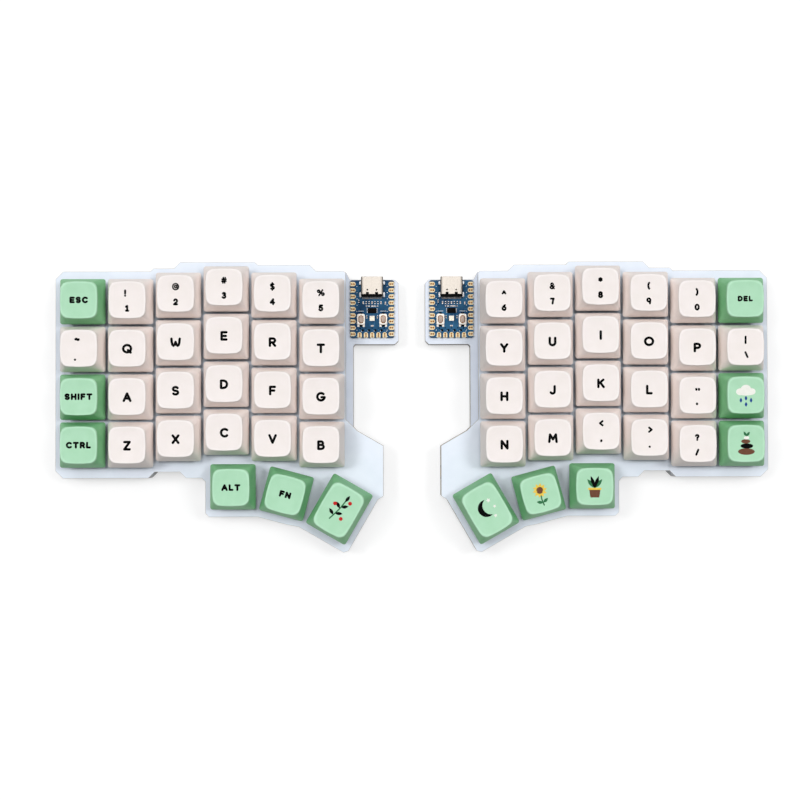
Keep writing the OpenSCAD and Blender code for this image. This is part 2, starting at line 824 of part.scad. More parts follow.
module standoff() {
    difference() {
        cylinder(d = standoff_d, h = spacer_h, $fn = 6);
        translate([0, 0, -cut]) cylinder(d = screw_d + 2 * hole_gap, h = spacer_h + 2 * cut);
    }
}

module standoffs_and_screws() {
    color("#b5a26a") in_layout() at_standoffs() {
        translate([0, 0, board_z - spacer_h]) standoff();
        translate([0, 0, board_top_z]) screw(board_t);
        translate([0, 0, bottom_z]) mirror([0, 0, 1]) screw(bottom_t);
    }
}

for (k = KEYS) key(k);
switch_plates();
switches();
circuit_boards();
controllers();
bottom_plates();
standoffs_and_screws();
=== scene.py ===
import json
import math

import bpy
from mathutils import Matrix, Vector
from mathutils.geometry import tessellate_polygon


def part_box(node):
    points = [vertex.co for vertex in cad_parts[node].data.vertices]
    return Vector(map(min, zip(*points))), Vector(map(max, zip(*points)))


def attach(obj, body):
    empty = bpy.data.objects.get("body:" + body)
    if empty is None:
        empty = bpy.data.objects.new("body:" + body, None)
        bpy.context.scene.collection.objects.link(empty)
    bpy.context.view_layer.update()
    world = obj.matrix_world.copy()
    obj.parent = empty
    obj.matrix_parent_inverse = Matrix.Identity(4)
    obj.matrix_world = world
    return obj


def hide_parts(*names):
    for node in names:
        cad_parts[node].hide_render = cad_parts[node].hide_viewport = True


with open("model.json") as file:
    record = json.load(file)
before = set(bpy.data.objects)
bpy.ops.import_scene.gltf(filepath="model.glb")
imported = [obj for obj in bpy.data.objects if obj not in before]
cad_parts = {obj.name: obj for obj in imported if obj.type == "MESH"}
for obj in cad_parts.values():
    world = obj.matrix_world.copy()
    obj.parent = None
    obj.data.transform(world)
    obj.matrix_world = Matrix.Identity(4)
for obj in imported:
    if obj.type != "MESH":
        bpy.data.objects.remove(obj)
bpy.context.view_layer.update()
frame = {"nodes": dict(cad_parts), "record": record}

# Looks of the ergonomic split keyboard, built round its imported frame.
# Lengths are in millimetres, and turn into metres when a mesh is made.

MM = 0.001


def span(node):
    """Lowest and highest corner of a CAD node, in millimetres."""
    low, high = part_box(node)
    return low / MM, high / MM


# Sizes that the frame gives
KEYS = [n[len("key_"):] for n in frame["nodes"] if n.startswith("key_")]
KEY_LOW, KEY_HIGH = span("key_q")
PLATE_LOW, PLATE_HIGH = span("switch_plates")
JACK_LOW, JACK_HIGH = span("circuit_boards")
CONTROLLER_LOW, CONTROLLER_HIGH = span("controllers")
BOTTOM_TOP = span("bottom_plates")[1].z
MOUNTS = {m["name"]: m["pos_m"] for m in frame["record"]["mounts"]}

# Keycap, with heights from its rim
PITCH, WIDE_UNITS = 19.05, 1.25
CAP_W, CAP_H = KEY_HIGH.x - KEY_LOW.x, 9.0
CAP_RIM_R, CAP_RIM_ROUND = 1.0, 0.15
CAP_TOP_W, CAP_TOP_R, CAP_TOP_BULGE = 14.2, 2.95, 0.18
CAP_EDGE_W, CAP_EDGE_H = 0.28, 0.45
CAP_WALL, CAP_ROOF = 1.4, 1.8
DISH_DEPTH = 0.3
DISH_SHARES = (0.96, 0.82, 0.64, 0.46, 0.28, 0.12)
POST_R, POST_RECESS, POST_SINK = 2.8, 0.8, 0.2
CROSS_W, CROSS_T, CROSS_H, CROSS_TAPER = 4.0, 1.2, 3.6, 0.95
CROSS_GAP, CROSS_TIP_GAP = 0.05, 0.3
RIM_Z = KEY_HIGH.z - CAP_H

# Switch, with heights from the switch plate's top
PLATE_TOP = PLATE_HIGH.z
SEAM, RUNNING_GAP = 0.05, 0.2
HOUSING_W, HOUSING_DEPTH, HOUSING_WALL = 13.9, 5.0, 1.0
HOUSING_FOOT_W, HOUSING_TOP_W, HOUSING_H, HOUSING_BEVEL = 14.8, 10.8, 6.6, 0.25
FLANGE_W, FLANGE_T = 15.6, 1.0
STEM_W, STEM_D, STEM_SHOULDER = 7.2, 5.8, 0.5
STEM_LOW, STEM_TOP = KEY_LOW.z - PLATE_TOP, 7.0
STEM_STOP = HOUSING_H - HOUSING_WALL - SEAM
POCKET_W, POCKET_H = 5.0, 4.4
SPRING_R, SPRING_H, SPRING_TURNS, WIRE_R = 2.0, 4.15, 6, 0.2
GUIDE_R, GUIDE_H = 1.95, 3.0
PIN_GRID, PIN_R, PIN_H = 1.27, 0.7, 2.8
PINS = [(-3 * PIN_GRID, 2 * PIN_GRID), (2 * PIN_GRID, 4 * PIN_GRID)]
SOCKET_W, SOCKET_H, SOCKET_END = 3.4, 1.8, 1.9
DIODE_L, DIODE_W, DIODE_H, DIODE_Y = 2.7, 1.6, 1.1, 6.5

# Boards and what they carry
BOARD_T, BOTTOM_T = 1.6, 1.6
BOARD_TOP = (JACK_LOW.z + JACK_HIGH.z + BOARD_T) / 2
UNDER_BOARD = -HOUSING_DEPTH - BOARD_T - SEAM
SHEET_CREASE = 30
JACK_L, JACK_W, JACK_H, JACK_R, JACK_BACK = 12.0, 6.0, 5.0, 1.8, 1.0
JACK_X, JACK_Y = (v / MM for v in MOUNTS["link_jack_left"][:2])
JACK_MOUTH_X = abs(JACK_X) - (JACK_L - JACK_BACK) / 2
FOOT_H, FOOT_R, FOOT_TAPER, THUMB_FOOT = 2.0, 4.0, 0.5, 4.5
STANDOFF_R, SCREW_R, SCREW_GRIP = 1.8, 1.0, 1.4
HEAD_R, HEAD_H, DRIVE_R, DRIVE_H = 1.8, 1.3, 0.75, 0.7

# Controller, measured from the middle of its upper end and from the top of its board
CONTROLLER_W, CONTROLLER_L, CONTROLLER_T = 18.0, 23.5, 1.0
USB_W, USB_H, USB_L, USB_WALL, USB_REACH = 8.94, 3.2, 7.35, 0.3, 1.2
USB_BACK, USB_R, USB_TAIL = 0.2, 1.2, 0.6
USB_PITCH, USB_CONTACT_W = 0.5, 0.26
CONTROLLER_X = CONTROLLER_HIGH.x - CONTROLLER_W / 2
CONTROLLER_Y = CONTROLLER_LOW.y + CONTROLLER_L
CONTROLLER_TOP = CONTROLLER_HIGH.z - USB_H - SEAM
PAD_PITCH, PAD_START, PAD_HOLE_R = 2.54, 1.6, 0.5
PAD_L, PAD_W, PAD_T = 2.35, 1.75, 0.05
SIDE_PADS, END_PADS = 9, 5
TRACK_W, FINE_TRACK_W, MARK_W = 0.22, 0.2, 0.18
VIA_R, MARK_R, HOLE_R = 0.24, 0.17, 0.5
BUTTON_W, BUTTON_L, BUTTON_H = 3.2, 4.4, 1.4
BUTTON_X, BUTTON_Y = 4.5, 16.0
PLUNGER_W, PLUNGER_L, PLUNGER_H = 1.5, 2.6, 0.6
LAMP_W, LAMP_H, LAMP_Y, LENS_R = 2.0, 0.8, 15.6, 0.77
CHIP_W, CHIP_L, CHIP_H, CHIP_Y, CHIP_PITCH = 4.4, 2.0, 0.9, 12.4, 0.5
PROCESSOR_W, PROCESSOR_H = 7.0, 0.9

# Print on the caps: rise over the dish, depth below it, rise per layer and longest step
INK_RISE, INK_SINK, INK_LAYER, INK_STEP = 0.02, 0.06, 0.002, 0.8
LETTER_H, LETTER_PEN, LETTER_STRETCH, LETTER_Y = 3.84, 0.98, 1.1, -0.25
WORD_H, WORD_PEN, WORD_GAP, WORD_STRETCH = 2.62, 0.82, 1.16, 1.15
WORDS = {"esc": "ESC", "shift": "SHIFT", "ctrl": "CTRL", "alt": "ALT", "fn": "FN", "del": "DEL"}
# Words that are smaller than the others
WORD_SIZES = {"DEL": 0.85}
SIGN_H, SIGN_PEN = 2.74, 0.8
# Signs with many strokes take a finer pen, and dots a broader one
SIGN_PENS = {"@": 0.56} | dict.fromkeys("#$%&", 0.64) | dict.fromkeys(".,'\"*~", 0.88)
# Two signs on one cap, with the place of each sign's middle
UPPER_Y, LOWER_Y = 2.65, -3.35
SIGN_PAIRS = {
    "tilde": (("~", -0.6, 3.5), (".", -1.4, -4.5)),
    "backslash": (("|", 0, 2.75), ("\\", 0.3, -3.1)),
    "quote": (("\"", 0, 2.3), ("'", -0.3, -3.4)),
    "comma": (("<", 0, 3.1), (",", 0, -3.8)),
    "dot": ((">", 0.3, 3.0), (".", 0, -3.7)),
    "slash": (("?", -0.3, 2.4), ("/", -0.3, -3.4)),
    "1": (("!", -0.8, UPPER_Y), ("1", 0, LOWER_Y)),
}
for number, sign in zip("234567890", "@#$%^&*()"):
    SIGN_PAIRS[number] = ((sign, 0, UPPER_Y), (number, 0, LOWER_Y))

THUMB_TURNS = {
    "fn": -15,
    "left_thumb_wide": -30,
    "right_thumb_middle": 15,
    "right_thumb_wide": 30,
}
FOOT_KEYS = [
    "esc", "ctrl", "5", "left_thumb_wide", "del", "right_edge_low", "6", "right_thumb_wide",
]
# Each standoff stands in the middle between some keys
STANDOFF_KEYS = [
    ["esc", "1", "tilde", "q"],
    ["shift", "a", "ctrl", "z"],
    ["4", "5", "r", "t"],
    ["f", "g", "v", "b"],
    ["fn", "left_thumb_wide"],
    ["0", "del", "p", "backslash"],
    ["quote", "right_edge_home", "slash", "right_edge_low"],
    ["6", "7", "y", "u"],
    ["h", "j", "n", "m"],
    ["right_thumb_middle", "right_thumb_wide"],
]

# Stage, light and camera
FLOOR_HALF, FLOOR_COLOUR = 3.0, (0.47, 0.47, 0.47, 1)
# The floor's own glow where it is seen, and the light from all round where it isn't
FLOOR_GLOW = 0.6
AMBIENT, AMBIENT_COLOUR = 0.18, (0.97, 0.99, 1.0, 1)
# Each lamp's energy, its width, its lean from overhead and the turn towards which it leans
LAMPS = {
    "steep": (0.36, 5, 5.5, 90),
    "far": (0.4, 22, 22, 90),
    "flat_right": (0.28, 20, 60, 62),
    "flat_left": (0.28, 20, 60, 118),
    "right": (0.83, 16, 27, 17),
    "left": (0.93, 16, 27, 163),
}
CAMERA_LENS, CAMERA_SENSOR = 71.34, 36
CAMERA_PLACE = (-9.10, -10.35, 652.1)
CAMERA_TURN = (0.02053, -0.00652, -0.0026)


# Shapes

class Shape:
    """Points and faces of one piece, with the number of its paint for each face."""

    def __init__(self):
        self.points, self.faces, self.paints = [], [], []

    def add(self, solid, place=Matrix(), paint=0):
        """Adds points and faces, with one paint for all of them or a list."""
        points, faces = solid
        start = len(self.points)
        self.points += [place @ Vector(p) for p in points]
        self.faces += [[start + i for i in face] for face in faces]
        self.paints += paint if isinstance(paint, list) else [paint] * len(faces)

    def put(self, place):
        self.points = [place @ p for p in self.points]
        return self


def piece(name, shape, paints, body, node, crease=35):
    """A mesh that rides on a body and stands for a CAD node."""
    mesh = bpy.data.meshes.new(name)
    mesh.from_pydata([p * MM for p in shape.points], [], shape.faces)
    for paint in paints:
        mesh.materials.append(paint)
    mesh.polygons.foreach_set("material_index", shape.paints)
    mesh.shade_smooth()
    mesh.set_sharp_from_angle(angle=math.radians(crease))
    made = bpy.data.objects.new(name, mesh)
    bpy.context.scene.collection.objects.link(made)
    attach(made, body)
    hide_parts(node)


def fixed(name, make, places, paints, node):
    """A piece of the frame that repeats one form at several places."""
    shape = Shape()
    for place in places:
        make(shape, place)
    piece(name, shape, paints, "frame", node)


def at(x, y, z=0, turn=0):
    return Matrix.Translation((x, y, z)) @ Matrix.Rotation(math.radians(turn), 4, "Z")


def band(low, high, n):
    """Faces between two rings of n points, which start at the points low and high."""
    return [[low + i, low + (i + 1) % n, high + (i + 1) % n, high + i] for i in range(n)]


def skin(rings):
    """Points of rings with as many points each, and faces from each ring to the next."""
    n = len(rings[0])
    points = [Vector(p) for ring in rings for p in ring]
    return points, [face for k in range(len(rings) - 1) for face in band(k * n, k * n + n, n)]


def loft(rings):
    """A skin over rings that is closed with a fan at both ends."""
    points, faces = skin(rings)
    n, low = len(rings[0]), len(points)
    last, high = low - n, low + 1
    points += [sum(points[:n], Vector()) / n, sum(points[last:], Vector()) / n]
    for i in range(n):
        j = (i + 1) % n
        faces += [[j, i, low], [last + i, last + j, high]]
    return points, faces


def rounded(w, l, r, corner, side=1, bulge=0):
    """A rounded rectangle, anticlockwise, whose sides swell by bulge at their middles.

    Corner and side are the numbers of steps in each of them.
    """
    outline = []
    for q in range(4):
        cx = (w / 2 - bulge - r) * (1 if q in (0, 3) else -1)
        cy = (l / 2 - bulge - r) * (1 if q < 2 else -1)
        turns = [math.pi / 2 * (q + s / corner) for s in range(corner + 1)]
        outline += [Vector((cx + r * math.cos(a), cy + r * math.sin(a))) for a in turns]
    full = []
    for i, p in enumerate(outline):
        full.append(p)
        if i % (corner + 1) == corner:
            q = math.pi / 2 * (i // (corner + 1) + 1)
            out = Vector((math.cos(q), math.sin(q)))
            end = outline[(i + 1) % len(outline)]
            for s in range(1, side):
                t = s / side
                full.append(p.lerp(end, t) + out * bulge * (1 - (2 * t - 1) ** 2))
    return full


def lift(outline, z):
    return [Vector((p[0], p[1], z)) for p in outline]


def block(shape, place, w, l, low, high, r, edge, paint=0):
    """A rounded rectangle's block with rolled upper and lower edges."""
    def ring(roll, z):
        inset = edge * (1 - math.sin(roll))
        return lift(rounded(w - 2 * inset, l - 2 * inset, max(r - inset, r / 3), 3), z)

    rolls = [0, math.pi / 4, math.pi / 2]
    rings = [ring(a, low + edge * (1 - math.cos(a))) for a in rolls]
    rings += [ring(a, high - edge * (1 - math.cos(a))) for a in reversed(rolls)]
    shape.add(loft(rings), place, paint)


def round_ring(r, z, n):
    turns = [2 * math.pi * i / n for i in range(n)]
    return [Vector((r * math.cos(a), r * math.sin(a), z)) for a in turns]


def flat_ring(r, n=24):
    return [p.to_2d() for p in round_ring(r, 0, n)]


def lathe(profile, n):
    """A solid turned round Z from (radius, height) pairs that run from its foot to its top."""
    return loft([round_ring(r, z, n) for r, z in profile])


def inward(loop, depth):
    """A loop moved to its left by depth, which is into the material of a plate."""
    least_share = 0.3
    moved = []
    for i, p in enumerate(loop):
        before = (p - loop[i - 1]).normalized()
        after = (loop[(i + 1) % len(loop)] - p).normalized()
        left = Vector((-before.y - after.y, before.x + after.x))
        share = max(least_share, left.length_squared / 2)
        moved.append(p + left * (depth / share))
    return moved


def lid(loops):
    """Triangles that face up over an outline with holes, as the numbers of its points."""
    flat = [p for loop in loops for p in loop]
    triangles = tessellate_polygon([lift(loop, 0) for loop in loops])
    area = sum((flat[b] - flat[a]).cross(flat[c] - flat[a]) for a, b, c in triangles)
    return [list(t) if area > 0 else list(reversed(t)) for t in triangles]


def plate(shape, loops, low, high, edge, place=Matrix(), face=0, wall=0):
    """A plate with bevelled edges. Its outline runs anticlockwise, and its holes clockwise."""
    inner = [inward(loop, edge) for loop in loops]
    levels = [(inner, low), (loops, low + edge), (loops, high - edge), (inner, high)]
    points = [p for ring, z in levels for loop in ring for p in lift(loop, z)]
    count = sum(len(loop) for loop in loops)
    last = len(levels) - 1
    lids = []
    for up in lid(inner):
        lids += [[i + last * count for i in up], up[::-1]]
    walls, start = [], 0
    for loop in loops:
        for k in range(start, start + last * count, count):
            walls += band(k, k + count, len(loop))
        start += len(loop)
    shape.add((points, lids + walls), place, [face] * len(lids) + [wall] * len(walls))


def cad_loops(node, z):
    """Outlines of a CAD node's upward faces at height z, holes with their outer loop."""
    upward, level = 0.9, 0.01
    mesh = frame["nodes"][node].data
    ends = {}
    for face in mesh.polygons:
        corners = [mesh.vertices[v].co / MM for v in face.vertices]
        if face.normal.z > upward and all(abs(p.z - z) < level for p in corners):
            flat = [(round(p.x, 3), round(p.y, 3)) for p in corners]
            for a, b in zip(flat, flat[1:] + flat[:1]):
                if a in ends.get(b, ()):
                    ends[b].remove(a)
                else:
                    ends.setdefault(a, []).append(b)
    loops = []
    while any(ends.values()):
        loop, here = [], next(a for a in ends if ends[a])
        while ends.get(here):
            loop.append(Vector(here))
            here = ends[here].pop()
        loops.append(fewer(loop))
    sets = []
    for outer in (loop for loop in loops if turn_area(loop) > 0):
        (x0, *_, x1), (y0, *_, y1) = (sorted(p[axis] for p in outer) for axis in (0, 1))
        holes = [
            loop for loop in loops
            if turn_area(loop) < 0 and x0 < loop[0].x < x1 and y0 < loop[0].y < y1
        ]
        sets.append([outer] + holes)
    return sets


def fewer(loop, slack=0.02):
    """A loop without the points that its curves can spare."""
    while True:
        kept = [loop[0]]
        for i in range(1, len(loop)):
            before, p, after = loop[i - 1], loop[i], loop[(i + 1) % len(loop)]
            chord = after - before
            off = abs(chord.cross(p - before)) / max(chord.length, slack)
            if off >= slack or kept[-1] != before:
                kept.append(p)
        if len(kept) == len(loop):
            return loop
        loop = kept


def turn_area(loop):
    """A loop's area, which is below zero where it runs clockwise."""
    return sum(loop[i - 1].cross(p) for i, p in enumerate(loop)) / 2


# Finishes

# The part of a pattern over which its colour runs
RAMP_ENDS = (0.35, 0.65)
# Heights over the caps' tops between which a side's painted light and shade turns into the top's
# colour, and the top into the painted highlight on its rim
PAINTED_SIDE_ENDS, RIM_HIGHLIGHT_ENDS = (-1.0, -0.4), (-0.05, -0.01)


def linear(colour):
    """Linear light of a colour that is written as three numbers up to 255."""
    channels = [c / 255 for c in colour]
    return [c / 12.92 if c <= 0.04045 else ((c + 0.055) / 1.055) ** 2.4 for c in channels]


def shader_node(tree, kind, output, values, links, **options):
    """The output of a new node, some of whose sockets are set and some are linked."""
    made = tree.nodes.new(kind)
    for option, value in options.items():
        setattr(made, option, value)
    for socket, value in values.items():
        made.inputs[socket].default_value = value
    for socket, source in links.items():
        tree.links.new(source, made.inputs[socket])
    return made.outputs[output]


class Finish:
    """A procedural material, whose shader is fed by patterns in the piece's own space."""

    def __init__(self, name, rough, specular=0.5, metal=0.0):
        self.material = bpy.data.materials.new(name)
        self.material.use_nodes = True
        self.tree = self.material.node_tree
        self.shader = self.tree.nodes["Principled BSDF"]
        self.space = self.node("TexCoord", "Object", {}, {})
        self.rough = rough
        values = {"Roughness": rough, "Specular IOR Level": specular, "Metallic": metal}
        for socket, value in values.items():
            self.shader.inputs[socket].default_value = value

    def node(self, kind, *rest, **options):
        return shader_node(self.tree, "ShaderNode" + kind, *rest, **options)

    def feed(self, socket, source):
        self.tree.links.new(source, self.shader.inputs[socket])

    def noise(self, size, detail):
        """A pattern whose grains are about size millimetres across."""
        values = {"Scale": 1 / (size * MM), "Detail": detail}
        return self.node("TexNoise", "Fac", values, {"Vector": self.space})

    def ramp(self, pattern, low, high):
        """A colour that runs from low to high over a pattern."""
        ramp = self.tree.nodes.new("ShaderNodeValToRGB")
        for stop, place, colour in zip(ramp.color_ramp.elements, RAMP_ENDS, (low, high)):
            stop.position = place
            stop.color = (*linear(colour), 1)
        self.tree.links.new(pattern, ramp.inputs["Fac"])
        return ramp.outputs["Color"]

    def colours(self, pattern, low, high):
        self.feed("Base Color", self.ramp(pattern, low, high))

    def over_height(self, ends, low, high):
        """A colour that turns from low to high between two heights over the caps' tops."""
        height = self.node("SeparateXYZ", "Z", {}, {"Vector": self.space})
        start, end = ((KEY_HIGH.z + v) * MM for v in ends)
        climb = self.node(
            "MapRange", "Result", {"From Min": start, "From Max": end}, {"Value": height})
        links = {"Factor": climb, "A": low, "B": high}
        return self.node("Mix", "Result", {}, links, data_type="RGBA")

    def grain(self, pattern, spread, height):
        """Roughness that varies with a pattern, and a relief of so many millimetres."""
        ends = {"To Min": self.rough - spread, "To Max": self.rough + spread}
        self.feed("Roughness", self.node("MapRange", "Result", ends, {"Value": pattern}))
        self.relief(pattern, height)

    def relief(self, pattern, height):
        values = {"Strength": 1, "Distance": height * MM}
        self.feed("Normal", self.node("Bump", "Normal", values, {"Height": pattern}))


def moulded(name, low, high, rough, grain, height, specular=0.25):
    """Moulded plastic: faint clouds in the colour and a fine spark-eroded grain."""
    finish = Finish(name, rough, specular)
    finish.colours(finish.noise(5.0, 4.0), low, high)
    finish.grain(finish.noise(grain, 3.0), 0.06, height)
    return finish.material


def cap_plastic(name, side, top, rim):
    """Plastic of a keycap: one colour on its top, painted light and shade on its sides, and a
    painted highlight on the top's rim.
    """
    finish = Finish(name, 0.55, 0.28)
    clouds = finish.noise(5.0, 4.0)
    # The side colour is painted light and shade, and the rim colour a painted highlight
    sides, tops, rim_highlights = (finish.ramp(clouds, *colours) for colours in (side, top, rim))
    face = finish.over_height(PAINTED_SIDE_ENDS, sides, tops)
    finish.feed("Base Color", finish.over_height(RIM_HIGHLIGHT_ENDS, face, rim_highlights))
    finish.grain(finish.noise(0.3, 3.0), 0.06, 0.008)
    return finish.material


def lacquered(name, low, high, rough, specular):
    """Solder mask over a board: a smooth lacquer with a slight orange peel."""
    finish = Finish(name, rough, specular)
    finish.colours(finish.noise(9.0, 3.0), low, high)
    finish.grain(finish.noise(1.2, 2.0), 0.05, 0.004)
    return finish.material


def metal(name, low, high, rough, grain):
    """Plated or drawn metal with fine drawing marks."""
    finish = Finish(name, rough, metal=1.0)
    marks = finish.noise(grain, 3.0)
    finish.colours(marks, low, high)
    finish.grain(marks, 0.07, 0.003)
    return finish.material


def ink(name, colour):
    """Dyed print, which takes the cap's grain."""
    finish = Finish(name, 0.75, 0.03)
    paler = [min(255, c + 6) for c in colour]
    finish.colours(finish.noise(0.8, 3.0), colour, paler)
    finish.relief(finish.noise(0.25, 3.0), 0.006)
    return finish.material


# Cap colours: painted light and shade on the sides (paler on cream, darker on green), the top's
# own colour, and a painted highlight on the rim
CREAM = cap_plastic(
    "cream_plastic",
    ((248, 238, 233), (250, 241, 237)),
    ((242, 234, 230), (245, 237, 234)),
    ((246, 239, 236), (249, 242, 240)),
)
GREEN = cap_plastic(
    "green_plastic",
    ((124, 189, 137), (134, 196, 145)),
    ((170, 218, 183), (176, 222, 189)),
    ((181, 227, 194), (187, 231, 200)),
)
HOUSING = moulded("housing_plastic", (24, 21, 20), (33, 29, 28), 0.42, 0.4, 0.006, 0.15)
STEM = moulded("stem_plastic", (92, 58, 44), (104, 67, 51), 0.38, 0.4, 0.004)
SOCKET = moulded("socket_plastic", (26, 26, 28), (36, 36, 38), 0.5, 0.4, 0.006)
RUBBER = moulded("foot_rubber", (34, 34, 35), (44, 44, 45), 0.75, 0.5, 0.02, 0.3)
BUTTON = moulded("button_plastic", (248, 242, 233), (253, 248, 241), 0.45, 0.4, 0.004)
PLUNGER = moulded("plunger_plastic", (172, 152, 140), (186, 166, 154), 0.4, 0.4, 0.004)
CHIP = moulded("chip_resin", (8, 8, 9), (14, 14, 15), 0.6, 0.25, 0.01, 0.03)
LENS = moulded("lamp_resin", (246, 240, 214), (252, 248, 230), 0.25, 0.5, 0.003)
PLATE = lacquered("plate_lacquer", (231, 239, 250), (236, 243, 254), 0.45, 0.15)
BOARD = lacquered("board_lacquer", (225, 232, 245), (230, 237, 249), 0.45, 0.15)
BLUE = lacquered("controller_lacquer", (18, 56, 90), (44, 96, 132), 0.4, 0.05)
TRACE = lacquered("controller_traces", (40, 94, 138), (54, 108, 150), 0.4, 0.05)
SILK = lacquered("controller_marks", (214, 222, 228), (228, 234, 238), 0.5, 0.1)
BOARD_EDGE = moulded("board_edge", (176, 170, 160), (196, 190, 180), 0.7, 0.35, 0.03)
BLUE_EDGE = moulded("controller_edge", (58, 66, 66), (82, 88, 84), 0.7, 0.35, 0.02)
GOLD = metal("gold_plate", (174, 159, 127), (190, 177, 150), 0.6, 0.6)
BRASS = metal("brass", (184, 152, 86), (198, 168, 102), 0.3, 0.5)
STEEL = metal("steel", (182, 175, 167), (192, 185, 177), 0.65, 0.5)
TIN = metal("solder", (166, 166, 168), (182, 182, 184), 0.5, 0.4)
# A darker steel: painted shade on the USB shells' sideways faces, also used for the contact tails
PAINTED_SHADE_STEEL = metal("painted_shade_steel", (104, 97, 90), (120, 113, 106), 0.5, 0.5)
HOLE = moulded("plated_hole", (140, 88, 42), (172, 116, 60), 0.5, 0.3, 0.004, 0.05)
BLACK_INK = ink("black_print", (3, 3, 3))
INKS = {
    "black": BLACK_INK,
    "white": ink("white_print", (240, 240, 232)),
    "red": ink("red_print", (196, 44, 44)),
    "blue": ink("blue_print", (38, 74, 140)),
    "brown": ink("brown_print", (110, 72, 56)),
    "yellow": ink("yellow_print", (236, 200, 84)),
    "leaf": ink("leaf_print", (52, 112, 72)),
}


# Keycaps

def cap_sections(extra):
    """A keycap's rings from the roof inside, down to the rim, up the outside and into the dish."""
    def section(w, r, z, bulge=0):
        return lift(rounded(w, w + extra, r, 5, 6, bulge), z)

    edge_w = CAP_TOP_W + 2 * CAP_EDGE_W
    edge_z = CAP_H - CAP_EDGE_H
    rings = [
        section(CAP_TOP_W - CAP_WALL, CAP_RIM_R, CAP_H - CAP_ROOF),
        section(CAP_W - 2 * CAP_WALL, CAP_RIM_R, 0),
        section(CAP_W - CAP_RIM_ROUND, CAP_RIM_R, 0),
    ]
    side_steps, roll_steps = 5, 4
    for s in range(side_steps + 1):
        t = s / side_steps
        z = CAP_RIM_ROUND + (edge_z - CAP_RIM_ROUND) * t
        w = CAP_W + (edge_w - CAP_W) * t
        rings.append(section(w, CAP_RIM_R + (CAP_TOP_R - CAP_RIM_R) * t, z, CAP_TOP_BULGE * t))
    for s in range(1, roll_steps + 1):
        a = math.pi / 2 * s / roll_steps
        w = edge_w - 2 * CAP_EDGE_W * (1 - math.cos(a))
        rings.append(section(w, CAP_TOP_R, edge_z + CAP_EDGE_H * math.sin(a), CAP_TOP_BULGE))
    top = rounded(CAP_TOP_W, CAP_TOP_W + extra, CAP_TOP_R, 5, 6, CAP_TOP_BULGE)
    for share in DISH_SHARES:
        flat = [p * share for p in top]
        rings.append([Vector((p.x, p.y, dish(p.x, p.y, extra))) for p in flat])
    return rings


def dish(x, y, extra):
    """Height of a cap's top face over its rim."""
    reach = (2 * x / CAP_TOP_W) ** 4 + (2 * y / (CAP_TOP_W + extra)) ** 4
    return CAP_H - DISH_DEPTH * (1 - min(1, math.sqrt(reach)))


def plus(w, t):
    """Outline of a cross, anticlockwise."""
    a, b = w / 2, t / 2
    quarter = [(a, -CROSS_TAPER * b), (a, CROSS_TAPER * b), (b, b)]
    turns = [Matrix.Rotation(math.pi / 2 * q, 2) for q in range(4)]
    return [turn @ Vector(p) for turn in turns for p in quarter]


def keycap(extra):
    """A keycap's shell and the post that grips the stem."""
    shape = Shape()
    shape.add(loft(cap_sections(extra)))
    slot = plus(CROSS_W + 2 * CROSS_GAP, CROSS_T + 2 * CROSS_GAP)
    slot_top = POST_RECESS + CROSS_H + CROSS_TIP_GAP
    plate(shape, [flat_ring(POST_R), slot[::-1]], POST_RECESS, slot_top, 0.03)
    plate(shape, [flat_ring(POST_R)], slot_top, CAP_H - CAP_ROOF + POST_SINK, 0.01)
    return shape


# Print: strokes of a round pen, in units of the letter's height

def arc(cx, cy, rx, ry, start, end):
    steps = max(3, round(abs(end - start) / 15))
    turns = [math.radians(start + (end - start) * s / steps) for s in range(steps + 1)]
    return [(cx + rx * math.cos(a), cy + ry * math.sin(a)) for a in turns]


def oval(cx, cy, rx, ry):
    return [arc(cx, cy, rx, ry, 85, 275), arc(cx, cy, rx, ry, 265, 455)]


def path(*points):
    """Straight strokes from point to point."""
    return [[a, b] for a, b in zip(points, points[1:])]


